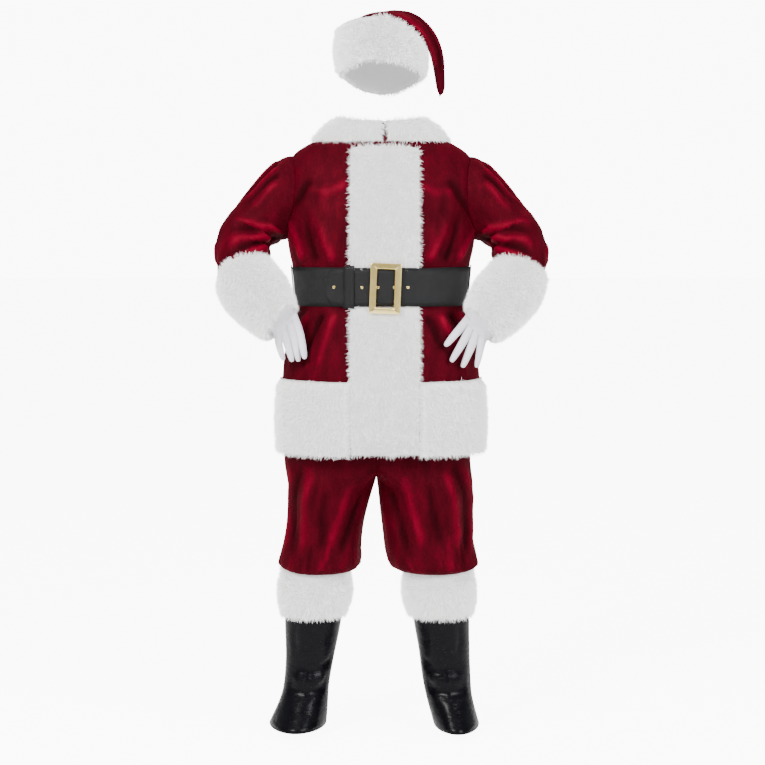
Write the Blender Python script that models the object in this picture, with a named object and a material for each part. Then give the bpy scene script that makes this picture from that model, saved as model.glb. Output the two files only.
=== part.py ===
"""Belted velvet costume suit with fur trim: hat, jacket, belt, trousers, boot tops and gloves.

Heights in the tables are metres above the floor. +X is the wearer's left, -Y is the front.
Everything is moved down by HELD_HEIGHT at the end, so the origin is where the shoulders carry it.
"""

import functools
import math

import bpy
import numpy as np

HELD_HEIGHT = 1.46
SEAM_GAP = 0.0004
VELVET = 0.002
VINYL = 0.0016
GLOVE_CLOTH = 0.0016
CENTRE_FRONT = 0.010
BAND_EDGES = (-0.0745, 0.0935)

# Jacket sections: height, half width, depth in front, depth behind.
TORSO = np.array(
    [
        (0.735, 0.2565, 0.190, 0.186),
        (0.810, 0.2570, 0.190, 0.184),
        (0.880, 0.2530, 0.188, 0.176),
        (0.925, 0.2480, 0.186, 0.170),
        (0.970, 0.2420, 0.183, 0.163),
        (1.015, 0.2345, 0.178, 0.156),
        (1.055, 0.2260, 0.173, 0.150),
        (1.088, 0.2150, 0.165, 0.144),
        (1.138, 0.2180, 0.165, 0.142),
        (1.188, 0.2235, 0.167, 0.144),
        (1.220, 0.2320, 0.172, 0.149),
        (1.260, 0.2380, 0.170, 0.153),
        (1.325, 0.2445, 0.156, 0.152),
        (1.360, 0.2460, 0.146, 0.148),
        (1.395, 0.2460, 0.134, 0.140),
        (1.430, 0.2420, 0.120, 0.127),
        (1.458, 0.2310, 0.107, 0.113),
        (1.480, 0.2100, 0.096, 0.101),
        (1.500, 0.1760, 0.086, 0.090),
        (1.518, 0.1380, 0.077, 0.080),
        (1.534, 0.1050, 0.070, 0.074),
        (1.550, 0.0860, 0.066, 0.070),
    ]
)
TORSO_POWER = 2.25

# Jacket folds: from (degrees, height) to (degrees, height), width, outward depth.
TORSO_FOLDS = [
    (44, 1.080, 56, 0.930, 0.022, 0.007),
    (58, 1.080, 72, 0.920, 0.020, -0.006),
    (34, 1.075, 44, 0.915, 0.020, -0.005),
    (30, 1.060, 66, 0.905, 0.018, 0.006),
    (78, 1.080, 84, 0.915, 0.022, 0.006),
    (-40, 1.080, -46, 0.910, 0.020, 0.005),
    (-52, 1.080, -60, 0.915, 0.020, -0.005),
    (-80, 1.075, -82, 0.910, 0.022, 0.006),
    (-36, 1.195, -50, 1.300, 0.024, 0.006),
    (-62, 1.200, -66, 1.330, 0.024, -0.005),
    (40, 1.195, 50, 1.290, 0.024, 0.006),
    (60, 1.200, 68, 1.350, 0.022, -0.006),
    (64, 1.330, 74, 1.240, 0.020, 0.006),
    (-66, 1.350, -76, 1.235, 0.020, 0.006),
    (110, 1.080, 106, 0.910, 0.026, 0.007),
    (132, 1.080, 138, 0.905, 0.026, -0.006),
    (156, 1.080, 150, 0.910, 0.026, 0.006),
    (180, 1.080, 184, 0.900, 0.028, -0.005),
    (206, 1.080, 212, 0.910, 0.026, 0.007),
    (230, 1.080, 224, 0.905, 0.026, -0.006),
    (252, 1.080, 256, 0.910, 0.026, 0.006),
    (130, 1.195, 122, 1.340, 0.030, 0.007),
    (160, 1.195, 164, 1.330, 0.030, -0.005),
    (204, 1.195, 196, 1.350, 0.030, 0.006),
    (232, 1.195, 240, 1.330, 0.030, 0.007),
]

# Sleeve stations: x and height of the outer edge, x and height of the inner edge,
# distance in front of the middle, half depth.
SLEEVE_RIGHT = [
    (-0.198, 1.466, -0.200, 1.268, 0.000, 0.066),
    (-0.232, 1.470, -0.228, 1.256, 0.000, 0.084),
    (-0.258, 1.458, -0.248, 1.252, 0.000, 0.092),
    (-0.292, 1.424, -0.264, 1.249, 0.000, 0.092),
    (-0.331, 1.381, -0.275, 1.243, 0.002, 0.088),
    (-0.369, 1.340, -0.280, 1.237, 0.008, 0.084),
    (-0.403, 1.300, -0.281, 1.231, 0.018, 0.081),
    (-0.417, 1.263, -0.280, 1.225, 0.030, 0.079),
    (-0.417, 1.224, -0.279, 1.218, 0.045, 0.077),
    (-0.411, 1.184, -0.279, 1.211, 0.060, 0.074),
    (-0.406, 1.146, -0.281, 1.202, 0.075, 0.069),
    (-0.394, 1.116, -0.276, 1.188, 0.090, 0.062),
    (-0.371, 1.088, -0.263, 1.168, 0.104, 0.055),
    (-0.337, 1.058, -0.247, 1.146, 0.122, 0.049),
    (-0.303, 1.030, -0.231, 1.116, 0.142, 0.047),
    (-0.280, 1.009, -0.218, 1.093, 0.152, 0.049),
]
SLEEVE_LEFT = [
    (0.198, 1.464, 0.200, 1.266, 0.000, 0.066),
    (0.234, 1.469, 0.228, 1.253, 0.000, 0.084),
    (0.262, 1.452, 0.248, 1.250, 0.000, 0.092),
    (0.298, 1.413, 0.264, 1.247, 0.000, 0.092),
    (0.337, 1.370, 0.274, 1.240, 0.002, 0.088),
    (0.372, 1.332, 0.279, 1.232, 0.008, 0.084),
    (0.401, 1.298, 0.282, 1.223, 0.018, 0.081),
    (0.416, 1.261, 0.283, 1.217, 0.030, 0.079),
    (0.418, 1.223, 0.283, 1.211, 0.045, 0.077),
    (0.416, 1.184, 0.283, 1.204, 0.060, 0.074),
    (0.407, 1.146, 0.283, 1.195, 0.075, 0.069),
    (0.395, 1.116, 0.276, 1.180, 0.090, 0.062),
    (0.371, 1.086, 0.262, 1.160, 0.104, 0.055),
    (0.341, 1.056, 0.245, 1.138, 0.122, 0.049),
    (0.307, 1.026, 0.228, 1.108, 0.142, 0.047),
    (0.281, 1.003, 0.214, 1.085, 0.152, 0.049),
]
CUFF_FROM_STATION = 10
SLEEVE_STEP = 0.045

# Sleeve folds: from (degrees, station) to (degrees, station), width, outward depth.
# 0 degrees is the outer edge and 90 the front on the wearer's right sleeve.
SLEEVE_FOLDS = [
    (20, 1.4, 26, 4.2, 0.016, -0.007),
    (0, 1.4, 4, 4.0, 0.016, 0.007),
    (-22, 1.4, -26, 4.2, 0.016, -0.007),
    (44, 1.6, 52, 4.6, 0.016, 0.006),
    (-46, 1.6, -54, 4.6, 0.016, 0.006),
    (92, 4.0, 150, 7.4, 0.018, 0.007),
    (60, 5.2, 140, 8.6, 0.018, -0.006),
    (40, 6.6, 128, 9.6, 0.018, 0.007),
    (-92, 4.0, -150, 7.4, 0.018, 0.007),
    (-60, 5.4, -138, 8.8, 0.018, -0.006),
    (-36, 6.8, -126, 9.6, 0.018, 0.007),
]

# Leg stations: height, x of the centre, y of the centre, half width, half depth.
LEG_RIGHT = [
    (0.640, -0.126, 0.000, 0.112, 0.140),
    (0.590, -0.134, -0.002, 0.105, 0.130),
    (0.540, -0.140, -0.004, 0.098, 0.122),
    (0.500, -0.146, -0.006, 0.098, 0.118),
    (0.465, -0.154, -0.008, 0.104, 0.119),
    (0.442, -0.157, -0.010, 0.107, 0.118),
    (0.4314, -0.161, -0.013, 0.093, 0.100),
    (0.4344, -0.165, -0.015, 0.074, 0.078),
    (0.412, -0.167, -0.016, 0.0745, 0.0765),
    (0.390, -0.168, -0.016, 0.0745, 0.0765),
]
LEG_LEFT = [
    (0.640, 0.113, 0.000, 0.124, 0.142),
    (0.590, 0.115, -0.002, 0.121, 0.134),
    (0.540, 0.117, -0.004, 0.118, 0.127),
    (0.500, 0.119, -0.006, 0.115, 0.122),
    (0.465, 0.126, -0.008, 0.117, 0.122),
    (0.442, 0.134, -0.010, 0.116, 0.120),
    (0.4314, 0.139, -0.013, 0.095, 0.100),
    (0.4344, 0.144, -0.015, 0.074, 0.078),
    (0.412, 0.146, -0.016, 0.0745, 0.0765),
    (0.390, 0.147, -0.016, 0.0745, 0.0765),
]
CROTCH_X = -0.010
# The waistband sits under the belted jacket, this far inside it in front and behind.
WAIST_HEIGHT = 1.088
WAIST_GAPS = (0.0016, 0.0046)
# Seat and hip sections: height, half width, half depth.
SEAT = [
    (1.045, 0.200, 0.132),
    (0.960, 0.214, 0.136),
    (0.850, 0.232, 0.146),
    (0.725, 0.239, 0.148),
    (0.680, 0.239, 0.146),
]
LEG_FOLDS = [
    (30, 0.62, 10, 0.46, 0.020, 0.007),
    (-30, 0.60, -8, 0.45, 0.020, -0.006),
    (62, 0.64, 40, 0.47, 0.020, -0.006),
    (-66, 0.62, -44, 0.46, 0.020, 0.007),
    (110, 0.62, 96, 0.46, 0.022, 0.006),
    (150, 0.60, 140, 0.46, 0.022, -0.006),
    (196, 0.62, 188, 0.46, 0.022, 0.007),
]

# Boot top stations: height, centre x, centre y, half width, depth in front, depth behind.
BOOT_RIGHT = [
    (0.372, -0.168, -0.016, 0.078, 0.082, 0.080),
    (0.310, -0.172, -0.012, 0.0755, 0.080, 0.080),
    (0.250, -0.176, -0.006, 0.071, 0.074, 0.078),
    (0.190, -0.182, 0.000, 0.063, 0.067, 0.070),
    (0.140, -0.188, 0.004, 0.060, 0.064, 0.063),
    (0.100, -0.193, 0.004, 0.060, 0.076, 0.060),
    (0.062, -0.201, 0.002, 0.067, 0.102, 0.062),
    (0.020, -0.213, 0.000, 0.075, 0.138, 0.068),
]
BOOT_LEFT = [
    (0.372, 0.147, -0.016, 0.078, 0.082, 0.080),
    (0.310, 0.151, -0.012, 0.0755, 0.080, 0.080),
    (0.250, 0.158, -0.006, 0.070, 0.074, 0.078),
    (0.190, 0.163, 0.000, 0.066, 0.067, 0.070),
    (0.140, 0.167, 0.004, 0.064, 0.064, 0.063),
    (0.100, 0.172, 0.004, 0.061, 0.076, 0.060),
    (0.062, 0.180, 0.002, 0.060, 0.102, 0.062),
    (0.018, 0.193, 0.000, 0.060, 0.138, 0.068),
]
BOOT_FUR_HEIGHTS = (0.302, 0.322, 0.346, 0.372, 0.400, 0.426)

# Hat crown stations: x and height of the upper edge, x and height of the lower edge,
# distance in front of the middle, half depth.
CROWN = [
    (-0.1015, 1.738, 0.1015, 1.703, 0.0, 0.1065),
    (-0.099, 1.768, 0.097, 1.728, 0.0, 0.103),
    (-0.082, 1.798, 0.090, 1.752, 0.0, 0.095),
    (-0.050, 1.819, 0.086, 1.773, 0.0, 0.082),
    (-0.015, 1.829, 0.088, 1.780, 0.0, 0.068),
    (0.025, 1.832, 0.096, 1.772, 0.0, 0.056),
    (0.062, 1.828, 0.106, 1.756, 0.0, 0.046),
    (0.094, 1.815, 0.117, 1.740, 0.0, 0.040),
    (0.120, 1.792, 0.126, 1.722, 0.0, 0.034),
    (0.141, 1.762, 0.131, 1.703, 0.0, 0.029),
    (0.153, 1.726, 0.135, 1.683, 0.0, 0.024),
    (0.158, 1.688, 0.138, 1.661, 0.0, 0.019),
    (0.160, 1.652, 0.142, 1.638, 0.0, 0.014),
    (0.158, 1.626, 0.146, 1.620, 0.0, 0.009),
]
CROWN_WALL = [VELVET] * (len(CROWN) - 2) + [0.0016, 0.0012]
# Hat brim: degrees (0 front, 90 the wearer's left), lower height, upper height.
BRIM = [(0, 1.700, 1.806), (90, 1.668, 1.742), (180, 1.628, 1.740), (270, 1.672, 1.790)]
BRIM_HALF = (0.103, 0.108)
BRIM_PILE = 0.0205

PALM_CORNERS = 12
# The palm's two rings inside the sleeve: share of the sleeve's width and half depth.
PALM_IN_SLEEVE = [(0.72, 0.027), (1.0, 0.024)]
KNUCKLE_HALF_DEPTH = 0.0125
KNUCKLE_SIDE = 0.0095
HAND_CLEAR = 0.0095
FINGER_ROOT, THUMB_ROOT = 0.014, 0.002
FINGER_CORNERS = (7, 4)
# The fingers' hollows have four corners, so they keep this many cloths of wall there.
FINGER_WALL = 2.1
# Thumb points: x, y, height, radius.
THUMB_RIGHT = [
    (-0.2185, -0.101, 1.0225, 0.0112),
    (-0.2325, -0.076, 1.016, 0.0102),
    (-0.238, -0.060, 1.012, 0.0088),
]
THUMB_LEFT = [
    (0.2185, -0.100, 1.018, 0.0112),
    (0.2325, -0.076, 1.012, 0.0102),
    (0.238, -0.060, 1.008, 0.0088),
]
# Glove fingers: x, height and radius of the points, from the knuckle to the tip.
FINGERS_RIGHT = [
    [(-0.212, 1.060, 0.0110), (-0.198, 1.020, 0.0105), (-0.189, 0.967, 0.0080)],
    [(-0.226, 1.050, 0.0110), (-0.214, 1.012, 0.0105), (-0.205, 0.960, 0.0080)],
    [(-0.243, 1.040, 0.0110), (-0.233, 1.004, 0.0105), (-0.221, 0.959, 0.0080)],
    [(-0.253, 1.034, 0.0100), (-0.254, 0.998, 0.0095), (-0.243, 0.962, 0.0070)],
]
FINGERS_LEFT = [
    [(0.208, 1.052, 0.0110), (0.187, 1.026, 0.0105), (0.162, 0.998, 0.0080)],
    [(0.222, 1.038, 0.0110), (0.203, 1.002, 0.0105), (0.176, 0.960, 0.0080)],
    [(0.236, 1.026, 0.0110), (0.223, 0.990, 0.0105), (0.204, 0.945, 0.0080)],
    [(0.250, 1.016, 0.0100), (0.246, 0.985, 0.0095), (0.238, 0.944, 0.0070)],
]

HEM_HEIGHT = 0.722
BAND_TOP = 1.485
BAND_UNDER_BELT = 0.0045
COLLAR_HEIGHTS = (1.500, 1.518, 1.534, 1.550)
BELT_ROWS = (1.088, 1.138, 1.188)
BELT_THICK = 0.0032
BELT_CLEAR = 0.0007
LAYER_GAP = 0.0006
# The tongue's end: columns back from the tip and share of the belt's width.
TONGUE_END = [(1.3, 1.0), (0.8, 0.93), (0.4, 0.78), (0.12, 0.52), (0.0, 0.28)]
# Steps round a loop: share of the belt's width (past 0 and 1 counts in reaches) and share of its lift.
LOOP_PATH = [
    (-1.0, 0.62),
    (-1.0, 0.9),
    (-0.3, 1.0),
    (0.25, 1.0),
    (0.75, 1.0),
    (1.3, 1.0),
    (2.0, 0.9),
    (2.0, 0.62),
]
LOOP_REACH = 0.004
LOOP_THICK = 0.0016
KEEPER_X = -0.075
BUCKLE_CENTRE = (0.011, -0.1803, 1.135)
BUCKLE_SIZE = (0.077, 0.124)
BUCKLE_BAR = (0.017, 0.015)
BUCKLE_THICK = 0.005
BUCKLE_LEAN = 2.3
EYELETS_X = (-0.113, -0.045, -0.008, 0.032, 0.064)
EYELET_CLEAR = 0.0009
# Outer radius, inner radius and thickness.
EYELET_SIZE = (0.0042, 0.0019, 0.0014)

VELVET_RED = (0.140, 0.006, 0.014)
FUR_WHITE = (0.800, 0.790, 0.780)
LEATHER_BLACK = (0.016, 0.017, 0.019)
VINYL_BLACK = (0.008, 0.008, 0.011)
BRASS = (0.740, 0.600, 0.220)
GLOVE_WHITE = (0.700, 0.680, 0.760)


def material(name, colour, roughness, metallic=0.0):
    made = bpy.data.materials.new(name)
    made.use_nodes = True
    shader = made.node_tree.nodes["Principled BSDF"]
    shader.inputs["Base Color"].default_value = (*colour, 1.0)
    shader.inputs["Roughness"].default_value = roughness
    shader.inputs["Metallic"].default_value = metallic
    made.diffuse_color = (*colour, 1.0)
    return made


def add_object(name, points, faces, look):
    """One closed body: its mesh is placed with the origin at the shoulders."""
    mesh = bpy.data.meshes.new(name)
    moved = np.asarray(points, float) - (0.0, 0.0, HELD_HEIGHT)
    mesh.from_pydata([tuple(point) for point in moved], [], [tuple(face) for face in faces])
    mesh.validate()
    mesh.shade_smooth()
    mesh.set_sharp_from_angle(angle=math.radians(50))
    mesh.materials.append(look)
    made = bpy.data.objects.new(name, mesh)
    bpy.context.scene.collection.objects.link(made)
    return made


def grid_faces(rows, columns, closed, rising=True):
    """Triangles of a grid whose columns run round and whose rows run along the tube."""
    faces = []
    for row in range(rows - 1):
        for column in range(columns if closed else columns - 1):
            following = (column + 1) % columns
            low, high = row * columns, (row + 1) * columns
            if rising:
                faces.append((low + column, low + following, high + following))
                faces.append((low + column, high + following, high + column))
            else:
                faces.append((low + column, low + following, high + column))
                faces.append((low + following, high + following, high + column))
    return faces


def normals_of(points, faces):
    normals = np.zeros_like(points)
    for face in faces:
        corners = points[list(face)]
        across = np.cross(corners[2] - corners[0], corners[-1] - corners[1])
        for index in face:
            normals[index] += across
    lengths = np.linalg.norm(normals, axis=1, keepdims=True)
    return normals / np.maximum(lengths, 1e-12)


def walled(points, faces, thickness):
    """A closed wall: the given surface is its outer side, and thickness is inward."""
    points = np.asarray(points, float)
    inner = points - normals_of(points, faces) * np.reshape(thickness, (-1, 1))
    count = len(points)
    result = [tuple(face) for face in faces]
    result += [tuple(index + count for index in reversed(face)) for face in faces]
    directed = {}
    for face in faces:
        for start, end in zip(face, face[1:] + face[:1]):
            directed[(start, end)] = True
    for start, end in directed:
        if (end, start) not in directed:
            result.append((end, start, start + count, end + count))
    return np.vstack([points, inner]), result


def solid_tube(rings):
    """A closed body through rings, with flat ends."""
    rows, columns = len(rings), len(rings[0])
    points = np.vstack([np.asarray(ring, float) for ring in rings])
    faces = grid_faces(rows, columns, True)
    faces.append(tuple(reversed(range(columns))))
    faces.append(tuple((rows - 1) * columns + index for index in range(columns)))
    return points, faces


def fold_height(u, v, folds, u_scale):
    """Outward height of the folds at (u degrees, v): each is a soft ridge along a line, faded at its ends."""
    total = 0.0
    for u0, v0, u1, v1, width, depth in folds:
        from_u = ((u - u0 + 180.0) % 360.0 - 180.0) * u_scale
        run_u, run_v = (u1 - u0) * u_scale, v1 - v0
        along = (from_u * run_u + (v - v0) * run_v) / (run_u**2 + run_v**2)
        nearest = min(1.0, max(0.0, along))
        away = math.hypot(from_u - nearest * run_u, v - v0 - nearest * run_v)
        fade = math.sin(math.pi * min(1.0, max(0.0, 0.12 + 0.76 * along))) ** 0.7
        total += depth * fade * math.exp(-((away / width) ** 2))
    return total


@functools.lru_cache(maxsize=None)
def torso_point(degrees, height):
    half, front, back = (np.interp(height, TORSO[:, 0], TORSO[:, column]) for column in (1, 2, 3))
    angle = math.radians(degrees)
    across, forward = math.sin(angle), math.cos(angle)
    depth = front if forward > 0 else back
    reach = (abs(across / half) ** TORSO_POWER + abs(forward / depth) ** TORSO_POWER) ** (-1 / TORSO_POWER)
    reach += fold_height(degrees, height, TORSO_FOLDS, math.pi / 180 * 0.21)
    return np.array([across * reach, -forward * reach, height])


@functools.lru_cache(maxsize=None)
def torso_out(degrees, height, out):
    """A point of the jacket's surface moved out along its normal."""
    here = torso_point(degrees, height)
    round_it = torso_point(degrees + 0.5, height) - torso_point(degrees - 0.5, height)
    up_it = torso_point(degrees, height + 0.004) - torso_point(degrees, height - 0.004)
    normal = np.cross(round_it, up_it)
    return here + normal / np.linalg.norm(normal) * out


def halved(low, high, below):
    """The value between low and high where below turns false."""
    for _ in range(40):
        middle = (low + high) / 2
        if below(middle):
            low = middle
        else:
            high = middle
    return (low + high) / 2


@functools.lru_cache(maxsize=None)
def degrees_at(x, height):
    """The angle at which the jacket's front has this x."""
    return halved(-89.0, 89.0, lambda degrees: torso_point(degrees, height)[0] < x)


def band_edge(side):
    """X of the fur band's edge at each height, drawn in where the neck narrows."""
    edge = BAND_EDGES[0] if side < 0 else BAND_EDGES[1]
    return lambda height: side * min(abs(edge), 0.72 * np.interp(height, TORSO[:, 0], TORSO[:, 1]))


def between(first, second, share):
    """The angle function that lies this share of the way between two others."""
    return lambda height: first(height) + (second(height) - first(height)) * share


def panel_columns(first, middle, last, counts):
    """Angle functions of a panel's columns, evenly spaced from edge to edge through its middle line."""
    columns = []
    for start, end, count, skip in ((first, middle, counts[0], 0), (middle, last, counts[1], 1)):
        for step in range(skip, count + 1):
            columns.append(between(start, end, step / count))
    return columns


def jacket_rows(columns, heights):
    return [np.array([torso_point(column(height), height) for column in columns]) for height in heights]


def jacket_panel(name, columns, look):
    rows = jacket_rows(columns, TORSO[:, 0])
    faces = grid_faces(len(rows), len(columns), False)
    return add_object(name, *walled(np.vstack(rows), faces, VELVET), look)


def station_rings(stations, folds, columns, growth=0.0):
    """Rings of a sleeve: the front view's two edges give each ring's centre and width."""
    outer = np.array([(row[0], -row[4], row[1]) for row in stations])
    inner = np.array([(row[2], -row[4], row[3]) for row in stations])
    centres = (outer + inner) / 2
    runs = np.gradient(centres, axis=0)
    mirrored = -1.0 if stations[0][0] > 0 else 1.0
    rings = []
    for index, row in enumerate(stations):
        wide = (outer[index] - inner[index]) / 2
        run = runs[index] - wide * (runs[index] @ wide) / (wide @ wide)
        deep = np.cross(run / np.linalg.norm(run), wide / np.linalg.norm(wide))
        ring = []
        for share in range(columns):
            degrees = 360.0 * share / columns
            angle = math.radians(degrees)
            spoke = wide * math.cos(angle) + deep * row[5] * math.sin(angle)
            raised = fold_height(mirrored * degrees, index * SLEEVE_STEP, folds, math.radians(0.09))
            ring.append(centres[index] + spoke * (1 + (raised + growth) / np.linalg.norm(spoke)))
        rings.append(np.array(ring))
    return rings


def scaled_folds(folds, step):
    return [(u0, v0 * step, u1, v1 * step, width, depth) for u0, v0, u1, v1, width, depth in folds]


def boolean(target, other, operation):
    step = target.modifiers.new(operation.title(), "BOOLEAN")
    step.operation = operation
    step.solver = "EXACT"
    step.object = other
    other.hide_render = True
    other.display_type = "WIRE"
    return step


def applied(target):
    """Keeps the result of the modifiers as the object's own mesh and drops its helpers."""
    helpers = [step.object for step in target.modifiers if step.type == "BOOLEAN"]
    graph = bpy.context.evaluated_depsgraph_get()
    result = bpy.data.meshes.new_from_object(target.evaluated_get(graph))
    target.modifiers.clear()
    target.data = result
    for helper in helpers:
        bpy.data.objects.remove(helper)
    return target


def pile(rows, edge, middle):
    """Depth of the fur over a band's rows: low at both edges, full between."""
    shares = np.linspace(0.0, 1.0, rows)
    return edge + (middle - edge) * np.clip(np.sin(np.pi * shares), 0, 1) ** 0.45


def fur_band(name, whole, rows, closed, depths, look):
    """A fur band on some rows of a surface: its inner side lies on it and its outer side is the pile."""
    columns = len(whole[0])
    normals = normals_of(np.vstack(whole), grid_faces(len(whole), columns, closed))
    picked = slice(rows.start * columns, rows.stop * columns)
    ground, normals = np.vstack(whole)[picked], normals[picked]
    depth = np.asarray(depths) if np.ndim(depths) == 2 else np.repeat(np.reshape(depths, (-1, 1)), columns, 1)
    outside = ground + normals * (depth.reshape(-1, 1) + SEAM_GAP)
    faces = grid_faces(rows.stop - rows.start, columns, closed)
    points, result = walled(outside, faces, 0.001)
    points[len(outside):] = ground + normals * SEAM_GAP
    return add_object(name, points, result, look)


for item in list(bpy.data.objects):
    bpy.data.objects.remove(item)

velvet = material("velvet", VELVET_RED, 0.85)
fur = material("fur", FUR_WHITE, 0.9)
leather = material("belt_leather", LEATHER_BLACK, 0.45)
vinyl = material("boot_vinyl", VINYL_BLACK, 0.35)
brass = material("buckle_brass", BRASS, 0.25, 1.0)
glove_cloth = material("glove_cloth", GLOVE_WHITE, 0.8)

SIDE_COLUMNS, BAND_COLUMNS, BACK_COLUMNS, SLEEVE_COLUMNS = 8, 4, 14, 18


def at_x(x):
    return lambda height: degrees_at(x(height) if callable(x) else x, height)


def fixed(value):
    return lambda height: value


side_gap = math.degrees(SEAM_GAP / 0.2)
right_columns = panel_columns(
    fixed(-90 + side_gap),
    at_x(band_edge(-1)),
    at_x(CENTRE_FRONT - SEAM_GAP),
    (SIDE_COLUMNS, BAND_COLUMNS),
)
left_columns = panel_columns(
    at_x(CENTRE_FRONT + SEAM_GAP),
    at_x(band_edge(1)),
    fixed(90 - side_gap),
    (BAND_COLUMNS, SIDE_COLUMNS),
)
back_columns = panel_columns(
    fixed(90 + side_gap), fixed(180), fixed(270 - side_gap), (BACK_COLUMNS // 2, BACK_COLUMNS // 2)
)
panels = [
    jacket_panel("jacket_front_right", right_columns, velvet),
    jacket_panel("jacket_front_left", left_columns, velvet),
    jacket_panel("jacket_back", back_columns, velvet),
]

sleeve_folds = scaled_folds(SLEEVE_FOLDS, SLEEVE_STEP)
sleeve_rings = {}
for side, stations in {"right": SLEEVE_RIGHT, "left": SLEEVE_LEFT}.items():
    rings = station_rings(stations, sleeve_folds, SLEEVE_COLUMNS)
    sleeve_rings[side] = rings
    faces = grid_faces(len(rings) - 1, SLEEVE_COLUMNS, True)
    add_object(f"sleeve_{side}", *walled(np.vstack(rings[:-1]), faces, VELVET), velvet)
    wider = station_rings(stations, sleeve_folds, SLEEVE_COLUMNS, SEAM_GAP)
    for panel in panels:
        if side in panel.name or "back" in panel.name:
            cutter = add_object(f"armhole_{side}_{panel.name}", *solid_tube(wider[:6]), velvet)
            boolean(panel, cutter, "DIFFERENCE")
            applied(panel)
    rows = range(CUFF_FROM_STATION, len(rings))
    fur_band(f"cuff_fur_{side}", rings, rows, True, pile(len(rows), 0.006, 0.024), fur)


def turned(columns):
    return [lambda height, column=column: column(height) + 360 for column in columns]


# The hem fur runs round from one edge of the front band to the other.
left_start = between(left_columns[BAND_COLUMNS], left_columns[BAND_COLUMNS + 1], 0.08)
right_end = between(right_columns[SIDE_COLUMNS], right_columns[SIDE_COLUMNS - 1], 0.08)
hem_columns = (
    [left_start]
    + left_columns[BAND_COLUMNS + 1 :]
    + back_columns[1:-1]
    + turned(right_columns[:SIDE_COLUMNS] + [right_end])
)
hem_rows = jacket_rows(hem_columns, (HEM_HEIGHT, *TORSO[:4, 0]))
hem_depth = pile(len(hem_rows), 0.008, 0.0185)
fur_band("hem_fur", hem_rows, range(len(hem_rows)), False, hem_depth, fur)

# The front band covers both edges of the opening, flat under the belt.
band_columns = right_columns[SIDE_COLUMNS:] + left_columns[1 : BAND_COLUMNS + 1]
band_heights = [height for height in TORSO[:, 0] if height <= BAND_TOP]
band_rows = jacket_rows(band_columns, band_heights)
band_profile = pile(len(band_columns), 0.006, 0.013)
band_depth = np.array([
    np.full(len(band_columns), BAND_UNDER_BELT) if BELT_ROWS[0] <= height <= BELT_ROWS[2] else band_profile
    for height in band_heights
])
fur_band("front_fur_band", band_rows, range(len(band_rows)), False, band_depth, fur)

collar_columns = [between(left_columns[0], left_columns[1], 0.5)] + left_columns[1:]
collar_columns += back_columns[1:-1]
collar_columns += turned(right_columns[:-1] + [between(right_columns[-1], right_columns[-2], 0.5)])
collar_rows = jacket_rows(collar_columns, COLLAR_HEIGHTS)
collar_depth = pile(len(collar_rows), 0.010, 0.030)
fur_band("collar_fur", collar_rows, range(len(collar_rows)), False, collar_depth, fur)

# The belt starts under the buckle, runs round the wearer's right, and ends as a tongue over its own start.
round_columns = right_columns[:-1] + left_columns[1:] + back_columns[1:-1]
round_count = len(round_columns)
front_column = SIDE_COLUMNS + BAND_COLUMNS


def belt_ground(column):
    """The jacket's points and normals at the three belt heights, at a fractional column of the round."""
    low = math.floor(column)
    points = []
    for height in BELT_ROWS:
        first = round_columns[low % round_count](height)
        second = round_columns[(low + 1) % round_count](height)
        ends = [(torso_point(angle, height), torso_out(angle, height, 1.0)) for angle in (first, second)]
        share = column - low
        here = ends[0][0] * (1 - share) + ends[1][0] * share
        there = ends[0][1] * (1 - share) + ends[1][1] * share
        points.append((here, (there - here) / np.linalg.norm(there - here)))
    return points


def belt_lift(column):
    """How far the belt's inner side stands off the jacket: over the fur band it steps out."""
    from_front = (column - front_column + round_count / 2) % round_count - round_count / 2
    over_band = max(0.0, min(1.0, BAND_COLUMNS + 1.4 - abs(from_front)))
    return BELT_CLEAR + (BAND_UNDER_BELT + LAYER_GAP) * over_band


def belt_point(column, share, out):
    """A point at a share of the belt's width, out from the jacket."""
    ground = belt_ground(column)
    part = share * 2
    low = 0 if part < 1 else 1
    (first, first_normal), (second, second_normal) = ground[low], ground[low + 1]
    mix = part - low
    normal = first_normal * (1 - mix) + second_normal * mix
    return first * (1 - mix) + second * mix + normal * out


start_column = front_column + 2.0
tongue_column = front_column - 6.4
stretch = list(np.arange(start_column, start_column - round_count - 0.01, -1.0))
stretch += list(np.arange(stretch[-1] - 1.0, tongue_column - round_count + 1.5, -1.0))
tip = tongue_column - round_count
belt_spine = [(column, 1.0) for column in stretch] + [(tip + back, wide) for back, wide in TONGUE_END]
over_from = start_column - round_count
rows = []
for column, wide in belt_spine:
    over = max(0.0, min(1.0, (over_from + 3.0 - column) / 2.0))
    out = belt_lift(column) + over * (BELT_THICK + LAYER_GAP)
    rows.append([belt_point(column, 0.5 + (share - 0.5) * wide * 0.97, out) for share in (0.0, 0.5, 1.0)])
outer_rows = []
for (column, wide), row in zip(belt_spine, rows):
    outer_rows.append([])
    for share, point in zip((0.0, 0.5, 1.0), row):
        out = belt_point(column, 0.5, 1.0) - belt_point(column, 0.5, 0.0)
        outer_rows[-1].append(point + out * BELT_THICK)
belt_outer = np.vstack(outer_rows)
belt_faces = grid_faces(len(rows), 3, False, rising=False)
points, faces = walled(belt_outer, belt_faces, BELT_THICK)
points[len(belt_outer):] = np.vstack(rows)
add_object("belt_strap", points, faces, leather)


def column_at(x):
    """The fractional column at which the front of the belt has this x."""
    low, high = front_column - SIDE_COLUMNS, front_column + SIDE_COLUMNS
    return halved(low, high, lambda column: belt_point(column, 0.5, 0.0)[0] < x)


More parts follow.
